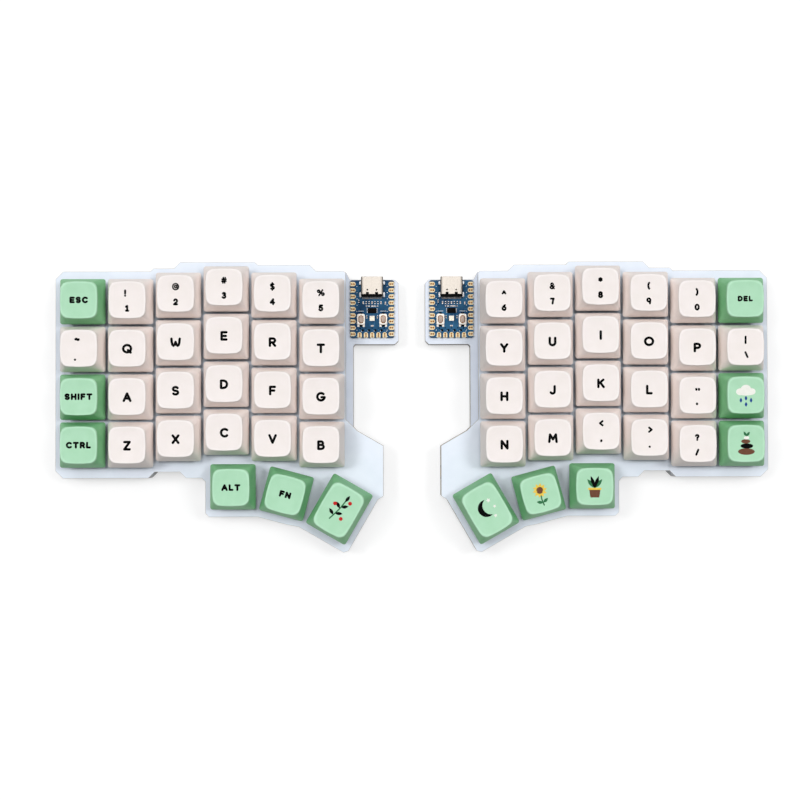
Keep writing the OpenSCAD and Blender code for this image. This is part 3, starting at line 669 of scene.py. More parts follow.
STEM_STROKE = path((0, 0), (0, 1))
P_BOWL = [[(0, 1)] + arc(0.34, 0.73, 0.3, 0.27, 90, -90) + [(0, 0.46)]]
S_CURVE = [arc(0.34, 0.75, 0.3, 0.25, 30, 270) + arc(0.34, 0.25, 0.32, 0.25, 90, -145)[1:]]
W_BOWL = [(0, 1), (0.05, 0.5), (0.13, 0.14), (0.26, 0), (0.39, 0.14), (0.52, 0.56)]
GLYPHS = {
    "A": path((0, 0), (0.41, 1), (0.82, 0)) + path((0.15, 0.33), (0.67, 0.33)),
    "B": STEM_STROKE + [[(0, 1)] + arc(0.32, 0.77, 0.25, 0.23, 90, -90) + [(0, 0.54)]]
    + [[(0, 0.54)] + arc(0.36, 0.27, 0.29, 0.27, 90, -90) + [(0, 0)]],
    "C": [arc(0.45, 0.5, 0.45, 0.5, 48, 312)],
    "D": STEM_STROKE + [[(0, 1)] + arc(0.28, 0.5, 0.46, 0.5, 90, -90) + [(0, 0)]],
    "E": STEM_STROKE + path((0, 1), (0.6, 1)) + path((0, 0.5), (0.52, 0.5))
    + path((0, 0), (0.6, 0)),
    "F": STEM_STROKE + path((0, 1), (0.58, 1)) + path((0, 0.5), (0.5, 0.5)),
    "G": [arc(0.46, 0.5, 0.46, 0.5, 48, 352)] + path((0.91, 0.44), (0.54, 0.44)),
    "H": STEM_STROKE + path((0.7, 0), (0.7, 1)) + path((0, 0.5), (0.7, 0.5)),
    "I": STEM_STROKE,
    "J": [[(0.48, 1)] + arc(0.22, 0.28, 0.26, 0.28, 0, -150)],
    "K": STEM_STROKE + path((0.62, 1), (0, 0.42)) + path((0.24, 0.62), (0.66, 0)),
    "L": STEM_STROKE + path((0, 0), (0.54, 0)),
    "M": path((0, 0), (0.1, 1), (0.46, 0.36), (0.82, 1), (0.92, 0)),
    "N": path((0, 0), (0, 1), (0.7, 0), (0.7, 1)),
    "O": oval(0.49, 0.5, 0.49, 0.5),
    "P": STEM_STROKE + P_BOWL,
    "Q": oval(0.49, 0.5, 0.49, 0.5) + path((0.6, 0.3), (0.93, -0.03)),
    "R": STEM_STROKE + P_BOWL + path((0.3, 0.46), (0.64, 0)),
    "S": S_CURVE,
    "T": path((0, 1), (0.74, 1)) + path((0.37, 1), (0.37, 0)),
    "U": [[(0, 1)] + arc(0.34, 0.34, 0.34, 0.34, 180, 360) + [(0.68, 1)]],
    "V": path((0, 1), (0.39, 0), (0.78, 1)),
    "W": [W_BOWL, [(1.04 - x, y) for x, y in W_BOWL]],
    "X": path((0, 0), (0.7, 1)) + path((0, 1), (0.7, 0)),
    "Y": path((0, 1), (0.37, 0.46), (0.74, 1)) + path((0.37, 0.46), (0.37, 0)),
    "Z": path((0, 1), (0.66, 1), (0, 0), (0.66, 0)),
    "0": oval(0.33, 0.5, 0.33, 0.5),
    "1": path((0.04, 0.82), (0.28, 1), (0.28, 0)) + path((0.06, 0), (0.5, 0)),
    "2": [arc(0.31, 0.69, 0.29, 0.31, 165, -40) + [(0, 0)]] + path((0, 0), (0.62, 0)),
    "3": [arc(0.27, 0.76, 0.25, 0.24, 150, -90), arc(0.27, 0.26, 0.29, 0.26, 90, -150)],
    "4": path((0.5, 0), (0.5, 1), (0, 0.3), (0.7, 0.3)),
    "5": path((0.56, 1), (0.1, 1), (0.05, 0.54)) + [arc(0.27, 0.31, 0.31, 0.31, 132, -150)],
    "6": oval(0.32, 0.31, 0.3, 0.31) + [[(0.5, 1), (0.25, 0.76), (0.08, 0.5), (0.02, 0.31)]],
    "7": path((0, 1), (0.58, 1)) + [[(0.58, 1), (0.42, 0.6), (0.34, 0)]],
    "8": oval(0.31, 0.76, 0.25, 0.24) + oval(0.31, 0.26, 0.31, 0.26),
    "9": oval(0.3, 0.69, 0.3, 0.31) + path((0.6, 0.69), (0.52, 0)),
    "!": path((0, 1.05), (0, 0.42)) + path((0, 0.01), (0, 0)),
    "@": [arc(0.5, 0.5, 0.52, 0.55, -50, 300)] + oval(0.5, 0.5, 0.2, 0.22)
    + path((0.72, 0.7), (0.74, 0.32)),
    "#": path((0.2, 0), (0.3, 1)) + path((0.54, 0), (0.64, 1))
    + path((0.02, 0.32), (0.78, 0.32)) + path((0.06, 0.68), (0.82, 0.68)),
    "$": S_CURVE + path((0.33, 1.18), (0.33, -0.18)),
    "%": path((0.28, 0), (0.92, 1)) + oval(0.2, 0.77, 0.2, 0.2) + oval(1.0, 0.23, 0.2, 0.2),
    "^": path((0, 0.3), (0.27, 0.75), (0.54, 0.3)),
    "&": [[(0.72, 0), (0.18, 0.6)] + arc(0.34, 0.78, 0.2, 0.22, 215, -40) + [(0.1, 0.36)]
          + arc(0.3, 0.24, 0.28, 0.24, 150, 300) + [(0.72, 0.44)]],
    "*": path((0.23, 0.22), (0.23, 0.78)) + path((0, 0.36), (0.46, 0.64))
    + path((0, 0.64), (0.46, 0.36)),
    "(": [arc(0.5, 0.5, 0.42, 0.72, 125, 235)],
    ")": [arc(-0.5, 0.5, 0.42, 0.72, 55, -55)],
    "~": [arc(0.18, 0.46, 0.18, 0.16, 165, 30) + arc(0.5, 0.54, 0.18, 0.16, 210, 345)],
    ".": path((0, 0), (0, 0.01)),
    ",": path((0.03, 0.08), (0, -0.06)),
    "|": path((0, -0.1), (0, 1.2)),
    "\\": path((0, 1), (0.42, 0)),
    "/": path((0, 0), (0.42, 1)),
    "\"": path((0, 0.16), (0.02, 0)) + path((0.56, 0.16), (0.58, 0)),
    "'": path((0, 0.12), (0.02, 0)),
    "<": path((0.52, 0.85), (0, 0.42), (0.52, 0)),
    ">": path((0, 0.85), (0.52, 0.42), (0, 0)),
    "?": [arc(0.27, 0.75, 0.26, 0.25, 165, -55) + [(0.29, 0.36)]] + path((0.29, 0.01), (0.29, 0)),
}


def pen_outline(stroke, pen):
    """Outline of a stroke that is drawn with a round pen, anticlockwise."""
    points = [Vector(p) for p in stroke]
    sides = []
    for i in range(len(points)):
        before, after = points[max(i - 1, 0)], points[min(i + 1, len(points) - 1)]
        ahead = (after - before).normalized()
        sides.append(Vector((ahead.y, -ahead.x)) * pen / 2)
    cap_steps = 6

    def cap(centre, side):
        turns = [math.pi * s / cap_steps for s in range(1, cap_steps)]
        return [centre + Matrix.Rotation(a, 2) @ side for a in turns]

    right = [p + s for p, s in zip(points, sides)]
    left = [p - s for p, s in zip(points, sides)]
    return right + cap(points[-1], sides[-1]) + left[::-1] + cap(points[0], -sides[0])


def pen_lid(outline, count):
    """Faces over a pen's outline of a stroke with so many points, which may cross itself."""
    n = len(outline)
    start = (n - 2 * count) // 2 + count
    end = start + count - 1
    faces = [[i, i + 1, end - 1 - i, end - i] for i in range(count - 1)]
    return faces + [list(range(count - 1, start + 1)), list(range(end, n)) + [0]]


def print_patch(shape, outline, paint, extra, layer, faces=None):
    """A film of print that follows the dish. Later layers lie a little higher."""
    if not faces and turn_area(outline) <= 0:
        outline = outline[::-1]
    n = len(outline)
    points = []
    for rise in (-INK_SINK, INK_RISE + INK_LAYER * layer):
        points += [Vector((p.x, p.y, dish(p.x, p.y, extra) + rise)) for p in outline]
    film = band(0, n, n)
    for up in faces or lid([outline]):
        film += [[i + n for i in up], up[::-1]]
    shape.add((points, film), paint=paint)


def fine(stroke):
    """A stroke whose points are so close that it can follow the dish."""
    points = [Vector(stroke[0])]
    for p in stroke[1:]:
        start, end = points[-1], Vector(p)
        count = max(1, math.ceil((end - start).length / INK_STEP))
        points += [start.lerp(end, s / count) for s in range(1, count + 1)]
    return points


def glyph_span(sign):
    """Least and greatest x of a sign, then its least and greatest y."""
    xs, ys = zip(*(p for stroke in GLYPHS[sign] for p in stroke))
    return min(xs), max(xs), min(ys), max(ys)


def write(shape, sign, x, y, height, pen, stretch=1.0):
    """One sign with its middle at x, y. Height is that of a capital letter, pen included."""
    x0, x1, y0, y1 = glyph_span(sign)
    middle = Vector(((x0 + x1) / 2, (y0 + y1) / 2))
    for layer, stroke in enumerate(GLYPHS[sign]):
        offs = [(Vector(p) - middle) * (height - pen) for p in stroke]
        points = fine([(x + off.x * stretch, y + off.y) for off in offs])
        outline = pen_outline(points, pen)
        print_patch(shape, outline, 1, 0, layer, pen_lid(outline, len(points)))


def write_word(shape, word):
    size = WORD_SIZES.get(word, 1.0)
    height, pen, gap = (size * v for v in (WORD_H, WORD_PEN, WORD_GAP))
    spans = [glyph_span(sign) for sign in word]
    widths = [(x1 - x0) * WORD_STRETCH * (height - pen) for x0, x1, *_ in spans]
    x = -(sum(widths) + gap * (len(word) - 1)) / 2
    for sign, width in zip(word, widths):
        write(shape, sign, x + width / 2, 0, height, pen, WORD_STRETCH)
        x += width + gap


# Motifs on the plain accent caps: garden and weather signs from ovals, leaves and pen strokes

def vectors(points):
    return [Vector(p) for p in points]


def oval_patch(cx, cy, rx, ry):
    return [Vector((cx + rx * p.x, cy + ry * p.y)) for p in flat_ring(1, 20)]


def leaf_patch(cx, cy, length, width, turn):
    """A pointed leaf that starts at cx, cy and grows along its turn."""
    steps = 8
    half = []
    for s in range(steps + 1):
        half.append((length * s / steps, width / 2 * math.sin(math.pi * s / steps)))
    spin = Matrix.Rotation(math.radians(turn), 2)
    loop = vectors(half + [(x, -y) for x, y in half[-2:0:-1]])
    return [Vector((cx, cy)) + spin @ p for p in loop]


def pen_patch(points, pen):
    return pen_outline(fine(points), pen)


def berry_sprig():
    parts = [("leaf", pen_patch([(-1.6, -4.6), (-0.6, -1.6), (0.2, 1.4), (0.6, 4.2)], 0.5))]
    for x, y, turn in (
        (-1.0, -2.6, 150), (-0.7, -1.8, 25), (0.0, 0.8, 145), (0.2, 1.4, 35), (0.6, 4.0, 80),
    ):
        parts.append(("black", leaf_patch(x, y, 3.0, 1.3, turn)))
    for x, y in ((-2.6, 1.6), (2.4, -2.6), (2.6, 4.4)):
        parts.append(("red", oval_patch(x, y, 0.75, 0.75)))
        parts.append(("white", oval_patch(x - 0.2, y + 0.25, 0.2, 0.2)))
    return parts


def moon_and_stars():
    outer = arc(0, 0.6, 3.4, 3.4, 70, 290)
    inner = arc(1.9, 0.6, 3.2, 3.35, 253, 107)
    parts = [("black", vectors(outer + inner))]
    for x, y, r in ((2.2, 3.0, 1.0), (3.2, -0.2, 0.75), (1.7, -3.6, 0.85)):
        star = []
        for i in range(10):
            a = math.radians(90 + 36 * i)
            reach = r if i % 2 == 0 else r * 0.45
            star.append(Vector((x + reach * math.cos(a), y + reach * math.sin(a))))
        parts.append(("white", star))
    return parts


def sunflower():
    parts = [("leaf", pen_patch([(0.2, -4.6), (-0.1, -2.4), (0, 0)], 0.5))]
    parts += [("leaf", leaf_patch(0.1, -3.6, 2.6, 1.2, turn)) for turn in (30, 160)]
    parts += [("yellow", leaf_patch(0, 1.4, 2.9, 1.25, 36 * i)) for i in range(10)]
    return parts + [
        ("brown", oval_patch(0, 1.4, 1.35, 1.35)),
        ("black", oval_patch(0, 1.4, 0.6, 0.6)),
    ]


def potted_plant():
    pot = vectors(((-1.7, -4.3), (1.7, -4.3), (2.2, -1.2), (-2.2, -1.2)))
    rim = vectors(((-2.6, -1.3), (2.6, -1.3), (2.6, -0.5), (-2.6, -0.5)))
    leaves = [("leaf", leaf_patch(0, -0.6, 4.6, 1.5, turn)) for turn in (50, 130)]
    leaves += [("black", leaf_patch(0, -0.6, 5.0, 1.4, turn)) for turn in (72, 108)]
    return leaves + [("brown", pot), ("yellow", rim)]


def rain_cloud():
    ovals = ((-2.2, 1.3, 1.7, 1.4), (0, 2.1, 2.1, 2.0), (2.2, 1.4, 1.6, 1.3), (0, 0.8, 3.4, 1.0))
    drops = ((-2.0, -2.4), (0, -1.6), (2.0, -2.4), (0, -4.0))
    parts = [("white", oval_patch(*o)) for o in ovals]
    return parts + [("blue", leaf_patch(x, y - 0.6, 1.9, 1.0, 90)) for x, y in drops]


def pebble_stack():
    pebbles = (
        ("brown", 0, -3.2, 3.3, 1.3),
        ("black", 0.2, -1.0, 2.5, 1.0),
        ("brown", -0.2, 0.8, 1.8, 0.85),
        ("white", 0.1, 2.2, 1.1, 0.65),
    )
    parts = [(colour, oval_patch(*rest)) for colour, *rest in pebbles]
    return parts + [("leaf", leaf_patch(0.1, 2.8, 2.2, 1.0, turn)) for turn in (55, 120)]


MOTIFS = {
    "left_thumb_wide": berry_sprig,
    "right_thumb_wide": moon_and_stars,
    "right_thumb_middle": sunflower,
    "right_thumb_outer": potted_plant,
    "right_edge_home": rain_cloud,
    "right_edge_low": pebble_stack,
}


# Keys

def key_place(name):
    """Middle of a key in x and y, and its turn."""
    low, high = span("key_" + name)
    return (low.x + high.x) / 2, (low.y + high.y) / 2, THUMB_TURNS.get(name, 0)


def stem_shape():
    """A switch stem, at heights from the plate's top."""
    shape = Shape()
    pocket = rounded(POCKET_W, POCKET_W, 0.2, 2)[::-1]
    pocket_top = STEM_LOW + POCKET_H
    wide = rounded(STEM_W + 2 * STEM_SHOULDER, STEM_D, 0.4, 3)
    plate(shape, [wide, pocket], STEM_LOW, pocket_top, 0.1)
    plate(shape, [wide], pocket_top, STEM_STOP, 0.1)
    plate(shape, [rounded(STEM_W, STEM_D, 0.4, 3)], STEM_STOP, STEM_TOP, 0.12)
    plate(shape, [plus(CROSS_W, CROSS_T)], STEM_TOP, STEM_TOP + CROSS_H, 0.08)
    return shape


def make_key(name):
    node = "key_" + name
    x, y, turn = key_place(name)
    extra = (WIDE_UNITS - 1) * PITCH if name.endswith("wide") else 0
    cap = keycap(extra)
    green = name in WORDS or name in MOTIFS
    paints = [GREEN if green else CREAM, BLACK_INK]
    if name in WORDS:
        write_word(cap, WORDS[name])
    elif name in SIGN_PAIRS:
        for sign, sx, sy in SIGN_PAIRS[name]:
            write(cap, sign, sx, sy, SIGN_H, SIGN_PENS.get(sign, SIGN_PEN))
    elif name in MOTIFS:
        colours = list(INKS)
        paints[1:] = INKS.values()
        for layer, (colour, outline) in enumerate(MOTIFS[name]()):
            print_patch(cap, outline, 1 + colours.index(colour), extra, layer)
    else:
        write(cap, name.upper(), 0, LETTER_Y, LETTER_H, LETTER_PEN, LETTER_STRETCH)
    cap.put(at(x, y, RIM_Z, turn))
    piece("cap_" + name, cap, paints, node, node)
    stem = stem_shape().put(at(x, y, PLATE_TOP, turn))
    piece("stem_" + name, stem, [STEM], node, node)


for key in KEYS:
    make_key(key)


# Switches under the keys

def peg(r, reach, tip_in, tip_up, n):
    """A round peg below the housing, with a tapered tip."""
    foot = -HOUSING_DEPTH - reach
    return lathe([(r - tip_in, foot), (r, foot + tip_up), (r, -HOUSING_DEPTH)], n)


def lower_housing(shape, place):
    inner_w = HOUSING_W - 2 * HOUSING_WALL
    opening = rounded(inner_w, inner_w, 0.4, 3)[::-1]
    outer = rounded(HOUSING_W, HOUSING_W, 0.5, 3)
    flange = rounded(FLANGE_W, FLANGE_W, 0.8, 3)
    floor = HOUSING_WALL - HOUSING_DEPTH
    plate(shape, [outer], -HOUSING_DEPTH, floor, 0.15, place)
    plate(shape, [outer, opening], floor, 0, 0.05, place)
    plate(shape, [flange, opening], 0, FLANGE_T, 0.15, place)
    shape.add(peg(GUIDE_R, GUIDE_H, 0.4, 0.5, 20), place)


def upper_housing(shape, place):
    """A tapered cover with a slot for the stem and two clip lugs."""
    foot, roof_low = FLANGE_T + SEAM, HOUSING_H - HOUSING_WALL
    slot = rounded(STEM_W + 2 * RUNNING_GAP, STEM_D + 2 * RUNNING_GAP, 0.3, 3, 2)
    sections = (
        (HOUSING_TOP_W - 2 * HOUSING_WALL, roof_low, 0.5),
        (HOUSING_FOOT_W - 2 * HOUSING_WALL, foot, 0.5),
        (HOUSING_FOOT_W, foot, 1.0),
        (HOUSING_TOP_W + 2 * HOUSING_BEVEL / 3, HOUSING_H - HOUSING_BEVEL, 1.4),
        (HOUSING_TOP_W - 2 * HOUSING_BEVEL, HOUSING_H, 1.3),
    )
    rings = [lift(rounded(w, w, r, 3, 2), z) for w, z, r in sections]
    points, faces = skin([lift(slot, roof_low)] + rings + [lift(slot, HOUSING_H)])
    n = len(slot)
    shape.add((points, faces + band(len(points) - n, 0, n)), place)
    for turn in (0, 180):
        lug = place @ at(0, 0, turn=turn) @ at(HOUSING_FOOT_W / 2 - 0.5, 0)
        block(shape, lug, 0.9, 3.4, foot, foot + 1.6, 0.2, 0.12)


def spring(shape, place):
    floor = HOUSING_WALL - HOUSING_DEPTH + SEAM + WIRE_R
    steps, sides = 10, 5
    count = SPRING_TURNS * steps
    turns = [2 * math.pi * k / sides for k in range(sides)]
    down = Vector((0, 0, -1))
    rings = []
    for s in range(count + 1):
        a = 2 * math.pi * s / steps
        out = Vector((math.cos(a), math.sin(a), 0))
        middle = out * SPRING_R
        middle.z = floor + (SPRING_H - 2 * WIRE_R) * s / count
        rings.append([middle + WIRE_R * (math.cos(t) * out + math.sin(t) * down) for t in turns])
    shape.add(loft(rings), place)


def contact_pins(shape, place):
    for x, y in PINS:
        shape.add(peg(PIN_R, PIN_H, 0.3, 0.4, 12), place @ at(x, y))


def socket(shape, place):
    """A hot-swap socket: a slanting bridge between two pin wells, with solder tabs at its ends."""
    (x0, y0), (x1, y1) = PINS
    turn = math.degrees(math.atan2(y1 - y0, x1 - x0))
    length = math.hypot(x1 - x0, y1 - y0) + 2 * SOCKET_END
    top = UNDER_BOARD
    here = place @ at((x0 + x1) / 2, (y0 + y1) / 2, 0, turn)
    block(shape, here, length - 1.0, SOCKET_W, top - SOCKET_H, top, 0.9, 0.2)
    for side in (-1, 1):
        tab = here @ at(side * (length / 2 - 0.9), 0)
        block(shape, tab, 1.8, SOCKET_W - 1.2, top - 0.4, top, 0.2, 0.08, 1)


def diode(shape, place):
    top = UNDER_BOARD
    here = place @ at(0, -DIODE_Y)
    block(shape, here, DIODE_L - 0.8, DIODE_W, top - DIODE_H, top - 0.1, 0.15, 0.12)
    for side in (-1, 1):
        leg = here @ at(side * (DIODE_L / 2 - 0.35), 0)
        block(shape, leg, 0.7, DIODE_W - 0.6, top - 0.35, top, 0.08, 0.05, 1)


KEY_PLACES = [at(x, y, PLATE_TOP, turn) for x, y, turn in map(key_place, KEYS)]
for name, make, paints, slot in (
    ("lower_housings", lower_housing, [HOUSING], "black_housing"),
    ("upper_housings", upper_housing, [HOUSING], "black_housing"),
    ("switch_springs", spring, [STEEL], "steel"),
    ("contact_pins", contact_pins, [BRASS], "brass"),
    ("switch_sockets", socket, [SOCKET, TIN], "black_housing"),
    ("diodes", diode, [CHIP, TIN], "black_housing"),
):
    fixed(name, make, KEY_PLACES, paints, "switches")


# Plates and boards, from the outlines of their CAD solids

for node, low, high, edge, paint, slot in (
    ("switch_plates", PLATE_LOW.z, PLATE_HIGH.z, 0.12, PLATE, "white_plate"),
    ("circuit_boards", BOARD_TOP - BOARD_T, BOARD_TOP, 0.1, BOARD, "white_board"),
    ("bottom_plates", BOTTOM_TOP - BOTTOM_T, BOTTOM_TOP, 0.12, PLATE, "white_plate"),
):
    sheets = Shape()
    for loops in cad_loops(node, high):
        plate(sheets, loops, low, high, edge, wall=1)
    paints = [paint, BOARD_EDGE]
    piece(node + "_lacquered", sheets, paints, "frame", node, SHEET_CREASE)


# Link jacks, feet, standoffs and screws

def jack_body(shape, place):
    """A jack let into a shoulder's edge, open towards the other half."""
    shell = rounded(JACK_H, JACK_W, 0.5, 3)
    plate(shape, [shell, flat_ring(JACK_R)[::-1]], 0, JACK_L - JACK_BACK, 0.15, place)
    plate(shape, [shell], JACK_L - JACK_BACK, JACK_L, 0.15, place)


def jack_collar(shape, place):
    ring = [flat_ring(JACK_R + 0.5), flat_ring(JACK_R + 0.02)[::-1]]
    plate(shape, ring, 0.0, 1.0, 0.05, place)


def jack_place(side):
    mouth = at(side * JACK_MOUTH_X, JACK_Y, (JACK_LOW.z + JACK_HIGH.z) / 2)
    return mouth @ Matrix.Rotation(side * math.pi / 2, 4, "Y")


def foot(shape, place):
    tip, top = FOOT_R - FOOT_TAPER, FOOT_H - SEAM
    hollow = [(tip - 0.9, 0.12), (tip - 0.6, 0), (tip - 0.15, 0)]
    flank = [(tip, 0.15), (FOOT_R - 0.1, top - 0.2), (FOOT_R - 0.2, top)]
    shape.add(lathe(hollow + flank, 40), place)


def foot_place(name):
    x, y, turn = key_place(name)
    return at(x, y, 0, turn) @ at(0, -THUMB_FOOT if name.endswith("wide") else 0)


def standoff(shape, place):
    loops = [flat_ring(STANDOFF_R, 6), flat_ring(SCREW_R + 0.1)[::-1]]
    plate(shape, loops, BOTTOM_TOP, BOARD_TOP - BOARD_T, 0.15, place)


def standoff_place(names):
    xs, ys, _ = zip(*map(key_place, names))
    return at(sum(xs) / len(xs), sum(ys) / len(ys))


def screw(reach):
    """A button-headed screw with a hexagonal key socket, its head's seat at height 0."""
    n, tip = 24, -reach - SCREW_GRIP
    shank = [(SCREW_R - 0.15, tip), (SCREW_R, tip + 0.2), (SCREW_R, 0), (HEAD_R - 0.05, 0)]
    head = [(HEAD_R, 0.05), (HEAD_R, 0.35), (HEAD_R - 0.25, HEAD_H - 0.4)]
    head += [(HEAD_R - 0.6, HEAD_H - 0.08), (HEAD_R - 0.85, HEAD_H)]
    rings = [round_ring(r, z, n) for r, z in shank + head]
    for z in (HEAD_H, HEAD_H - DRIVE_H):
        rings.append([Vector((*hex_point(i, n), z)) for i in range(n)])
    return loft(rings)


def hex_point(i, n):
    """Point i of n on the hexagon of the key socket."""
    a = 2 * math.pi * i / n
    off = (a + math.pi / 6) % (math.pi / 3) - math.pi / 6
    r = DRIVE_R * math.cos(math.pi / 6) / math.cos(off)
    return r * math.cos(a), r * math.sin(a)


def screw_pair(shape, place):
    """The screws above and below a standoff."""
    shape.add(screw(BOARD_T), place @ at(0, 0, BOARD_TOP))
    upside_down = Matrix.Rotation(math.pi, 4, "X")
    shape.add(screw(BOTTOM_T), place @ at(0, 0, BOTTOM_TOP - BOTTOM_T) @ upside_down)


JACK_PLACES = [jack_place(side) for side in (-1, 1)]
FOOT_PLACES = [foot_place(name) for name in FOOT_KEYS]
STANDOFF_PLACES = [standoff_place(names) for names in STANDOFF_KEYS]
for name, make, places, paints, node, slot in (
    ("link_jacks", jack_body, JACK_PLACES, [SOCKET], "circuit_boards", "black_housing"),
    ("jack_collars", jack_collar, JACK_PLACES, [BRASS], "circuit_boards", "brass"),
    ("rubber_feet", foot, FOOT_PLACES, [RUBBER], "bottom_plates", "rubber"),
    ("standoffs", standoff, STANDOFF_PLACES, [BRASS], "standoffs_and_screws", "brass"),
    ("screws", screw_pair, STANDOFF_PLACES, [STEEL], "standoffs_and_screws", "steel"),
):
    fixed(name, make, places, paints, node)


# Controllers

CONTROLLER_PLACES = [at(side * CONTROLLER_X, CONTROLLER_Y, CONTROLLER_TOP) for side in (-1, 1)]
SIDE_PAD_YS = [-PAD_START - i * PAD_PITCH for i in range(SIDE_PADS)]
END_PAD_XS = [(i - (END_PADS - 1) / 2) * PAD_PITCH for i in range(END_PADS)]
USB_LAY = at(0, USB_REACH, SEAM + USB_H / 2) @ Matrix.Rotation(math.pi / 2, 4, "X")


def dot(shape, place, x, y, r, paint, high=0.03, n=12):
    profile = [(r, -0.05), (r, high - 0.01), (r - 0.02, high)]
    shape.add(lathe(profile, n), place @ at(x, y), paint)


def trace(shape, place, points, width, paint):
    plate(shape, [pen_outline(points, width)], -0.05, 0.025, 0.005, place, paint, paint)


def traces(shape, place):
    """Tracks, vias, holes and marks on one controller's board."""
    track, mark, hole = 2, 3, 4
    for side in (-1, 1):
        for i, y in enumerate(SIDE_PAD_YS):
            reach = 5.2 - 0.35 * (i % 3)
            via_y = y - 0.5 + 0.25 * (i % 2)
            bend = [(side * 6.6, y), (side * (reach + 0.6), y), (side * reach, via_y)]
            trace(shape, place, bend, TRACK_W, track)
            dot(shape, place, side * 6.15, y - 0.95, MARK_R, mark)
            dot(shape, place, side * reach, via_y, VIA_R, hole)
    end = -CONTROLLER_L
    for x in END_PAD_XS:
        trace(shape, place, [(x, end + 2.4), (x, end + 4.0)], TRACK_W, track)
        dot(shape, place, x + 0.75, end + 2.75, MARK_R, mark)
        dot(shape, place, x, end + 4.0, VIA_R, hole)
    for i in range(END_PADS - 1):
        dot(shape, place, (i - 1.5) * PAD_PITCH, end + 3.1, HOLE_R, hole)
    for x in (-3.2, -1.1, 1.1, 3.2):
        for bend in (
            [(x, -7.6), (x, -8.4), (x * 0.5, -11.3)],
            [(x * 0.6, -13.5), (x * 0.8, -14.6), (x * 0.8, -18.8)],
        ):
            trace(shape, place, bend, FINE_TRACK_W, track)
    for x in (-BUTTON_X, BUTTON_X):
        y = -BUTTON_Y + 3.4
        trace(shape, place, [(x - 1.1, y), (x + 1.1, y)], MARK_W, mark)


def controller_boards():
    shape = Shape()
    for loops in cad_loops("controllers", CONTROLLER_TOP):
        plate(shape, loops, CONTROLLER_TOP - CONTROLLER_T, CONTROLLER_TOP, 0.06, wall=1)
    for place in CONTROLLER_PLACES:
        traces(shape, place)
    paints = [BLUE, BLUE_EDGE, TRACE, SILK, CHIP]
    piece("controller_boards", shape, paints, "frame", "controllers")


def castellated_pad():
    """A solder pad that ends at the board's edge in a half hole, with the edge on x = 0."""
    half = PAD_W / 2
    soft = half - PAD_HOLE_R
    notch = arc(0, 0, PAD_HOLE_R, PAD_HOLE_R, 270, 90)
    end = arc(-PAD_L + half, 0, half, half, 90, 270)
    low_corner = arc(-soft, -PAD_HOLE_R, soft, soft, 270, 345)
    high_corner = arc(-soft, PAD_HOLE_R, soft, soft, 15, 90)
    return vectors(low_corner + notch + high_corner + end)


def pads(shape, place):
    outline = castellated_pad()
    inner_r = PAD_HOLE_R - 0.08
    outer_half = arc(0, 0, PAD_HOLE_R, PAD_HOLE_R, 90, 270)
    barrel = vectors(outer_half + arc(0, 0, inner_r, inner_r, 270, 90))
    spots = []
    for y in SIDE_PAD_YS:
        spots += [at(CONTROLLER_W / 2, y), at(-CONTROLLER_W / 2, y, 0, 180)]
    spots += [at(x, -CONTROLLER_L, 0, -90) for x in END_PAD_XS]
    for spot in spots:
        here = place @ spot
        plate(shape, [outline], -0.02, PAD_T, 0.02, here)
        plate(shape, [barrel], -CONTROLLER_T, 0, 0.01, here)
        for x, r in ((-0.8, 0.36), (-1.65, 0.4)):
            dot(shape, here, x, 0, r, 1, PAD_T + 0.02, 14)


def usb_shells(shape, place):
    """Drawn steel shells, with latch windows, dimples and soldered legs. Their sideways faces are
    painted darker as painted shade, and the dimples are brown discs of painted shade.
    """
    window, dimple_shade, solder, painted_shade = 1, 2, 3, 4
    sideways = 0.7
    here = place @ USB_LAY
    outer = rounded(USB_W, USB_H, USB_R, 8)
    inner = rounded(USB_W - 2 * USB_WALL, USB_H - 2 * USB_WALL, USB_R - USB_WALL, 8)[::-1]
    first = len(shape.faces)
    plate(shape, [outer, inner], 0, USB_L - USB_BACK, 0.08, here)
    # Sideways faces of the shell get the darker steel, as painted shade
    for k in range(first, len(shape.faces)):
        a, b, c = (shape.points[i] for i in shape.faces[k][:3])
        if abs((b - a).cross(c - a).normalized().x) > sideways:
            shape.paints[k] = painted_shade
    plate(shape, [outer], USB_L - USB_BACK, USB_L + USB_TAIL, 0.25, here, window, window)
    top, back = SEAM + USB_H, USB_REACH - USB_L
    for x in (-1.85, 1.85):
        spot = place @ at(x, back + USB_BACK + 0.4, top)
        block(shape, spot, 1.25, 0.95, -0.2, 0.0, 0.12, 0.02, window)
        # Each dimple is a flat brown disc, as painted shade
        spot = place @ at(x, back + USB_BACK + 1.75, top)
        shape.add(lathe([(0.42, -0.15), (0.42, -0.02), (0.34, 0.0)], 16), spot, dimple_shade)
    for side in (-1, 1):
        for y, length in ((-0.45, 1.5), (-4.9, 2.1)):
            leg = place @ at(side * (USB_W / 2 + 0.28), y - length / 2)
            block(shape, leg, 0.95, length, 0.0, 0.42, 0.35, 0.18, solder)
    # The contact tails take the same darker steel
    for i in range(16):
        tail = place @ at((i - 7.5) * USB_PITCH, back - USB_TAIL - 0.4)
        block(shape, tail, USB_CONTACT_W, 1.2, 0.0, 0.22, 0.08, 0.05, painted_shade)


def usb_tongues(shape, place):
    here = place @ USB_LAY
    back = USB_L - USB_WALL
    plate(shape, [rounded(6.7, 0.7, 0.2, 3)], back - SEAM - 4.5, back, 0.1, here)
    for i in range(12):
        strip = here @ at((i - 5.5) * USB_PITCH, 0.36, USB_L - 2.9)
        block(shape, strip, USB_CONTACT_W, 0.05, -1.4, 1.4, 0.02, 0.01, 1)


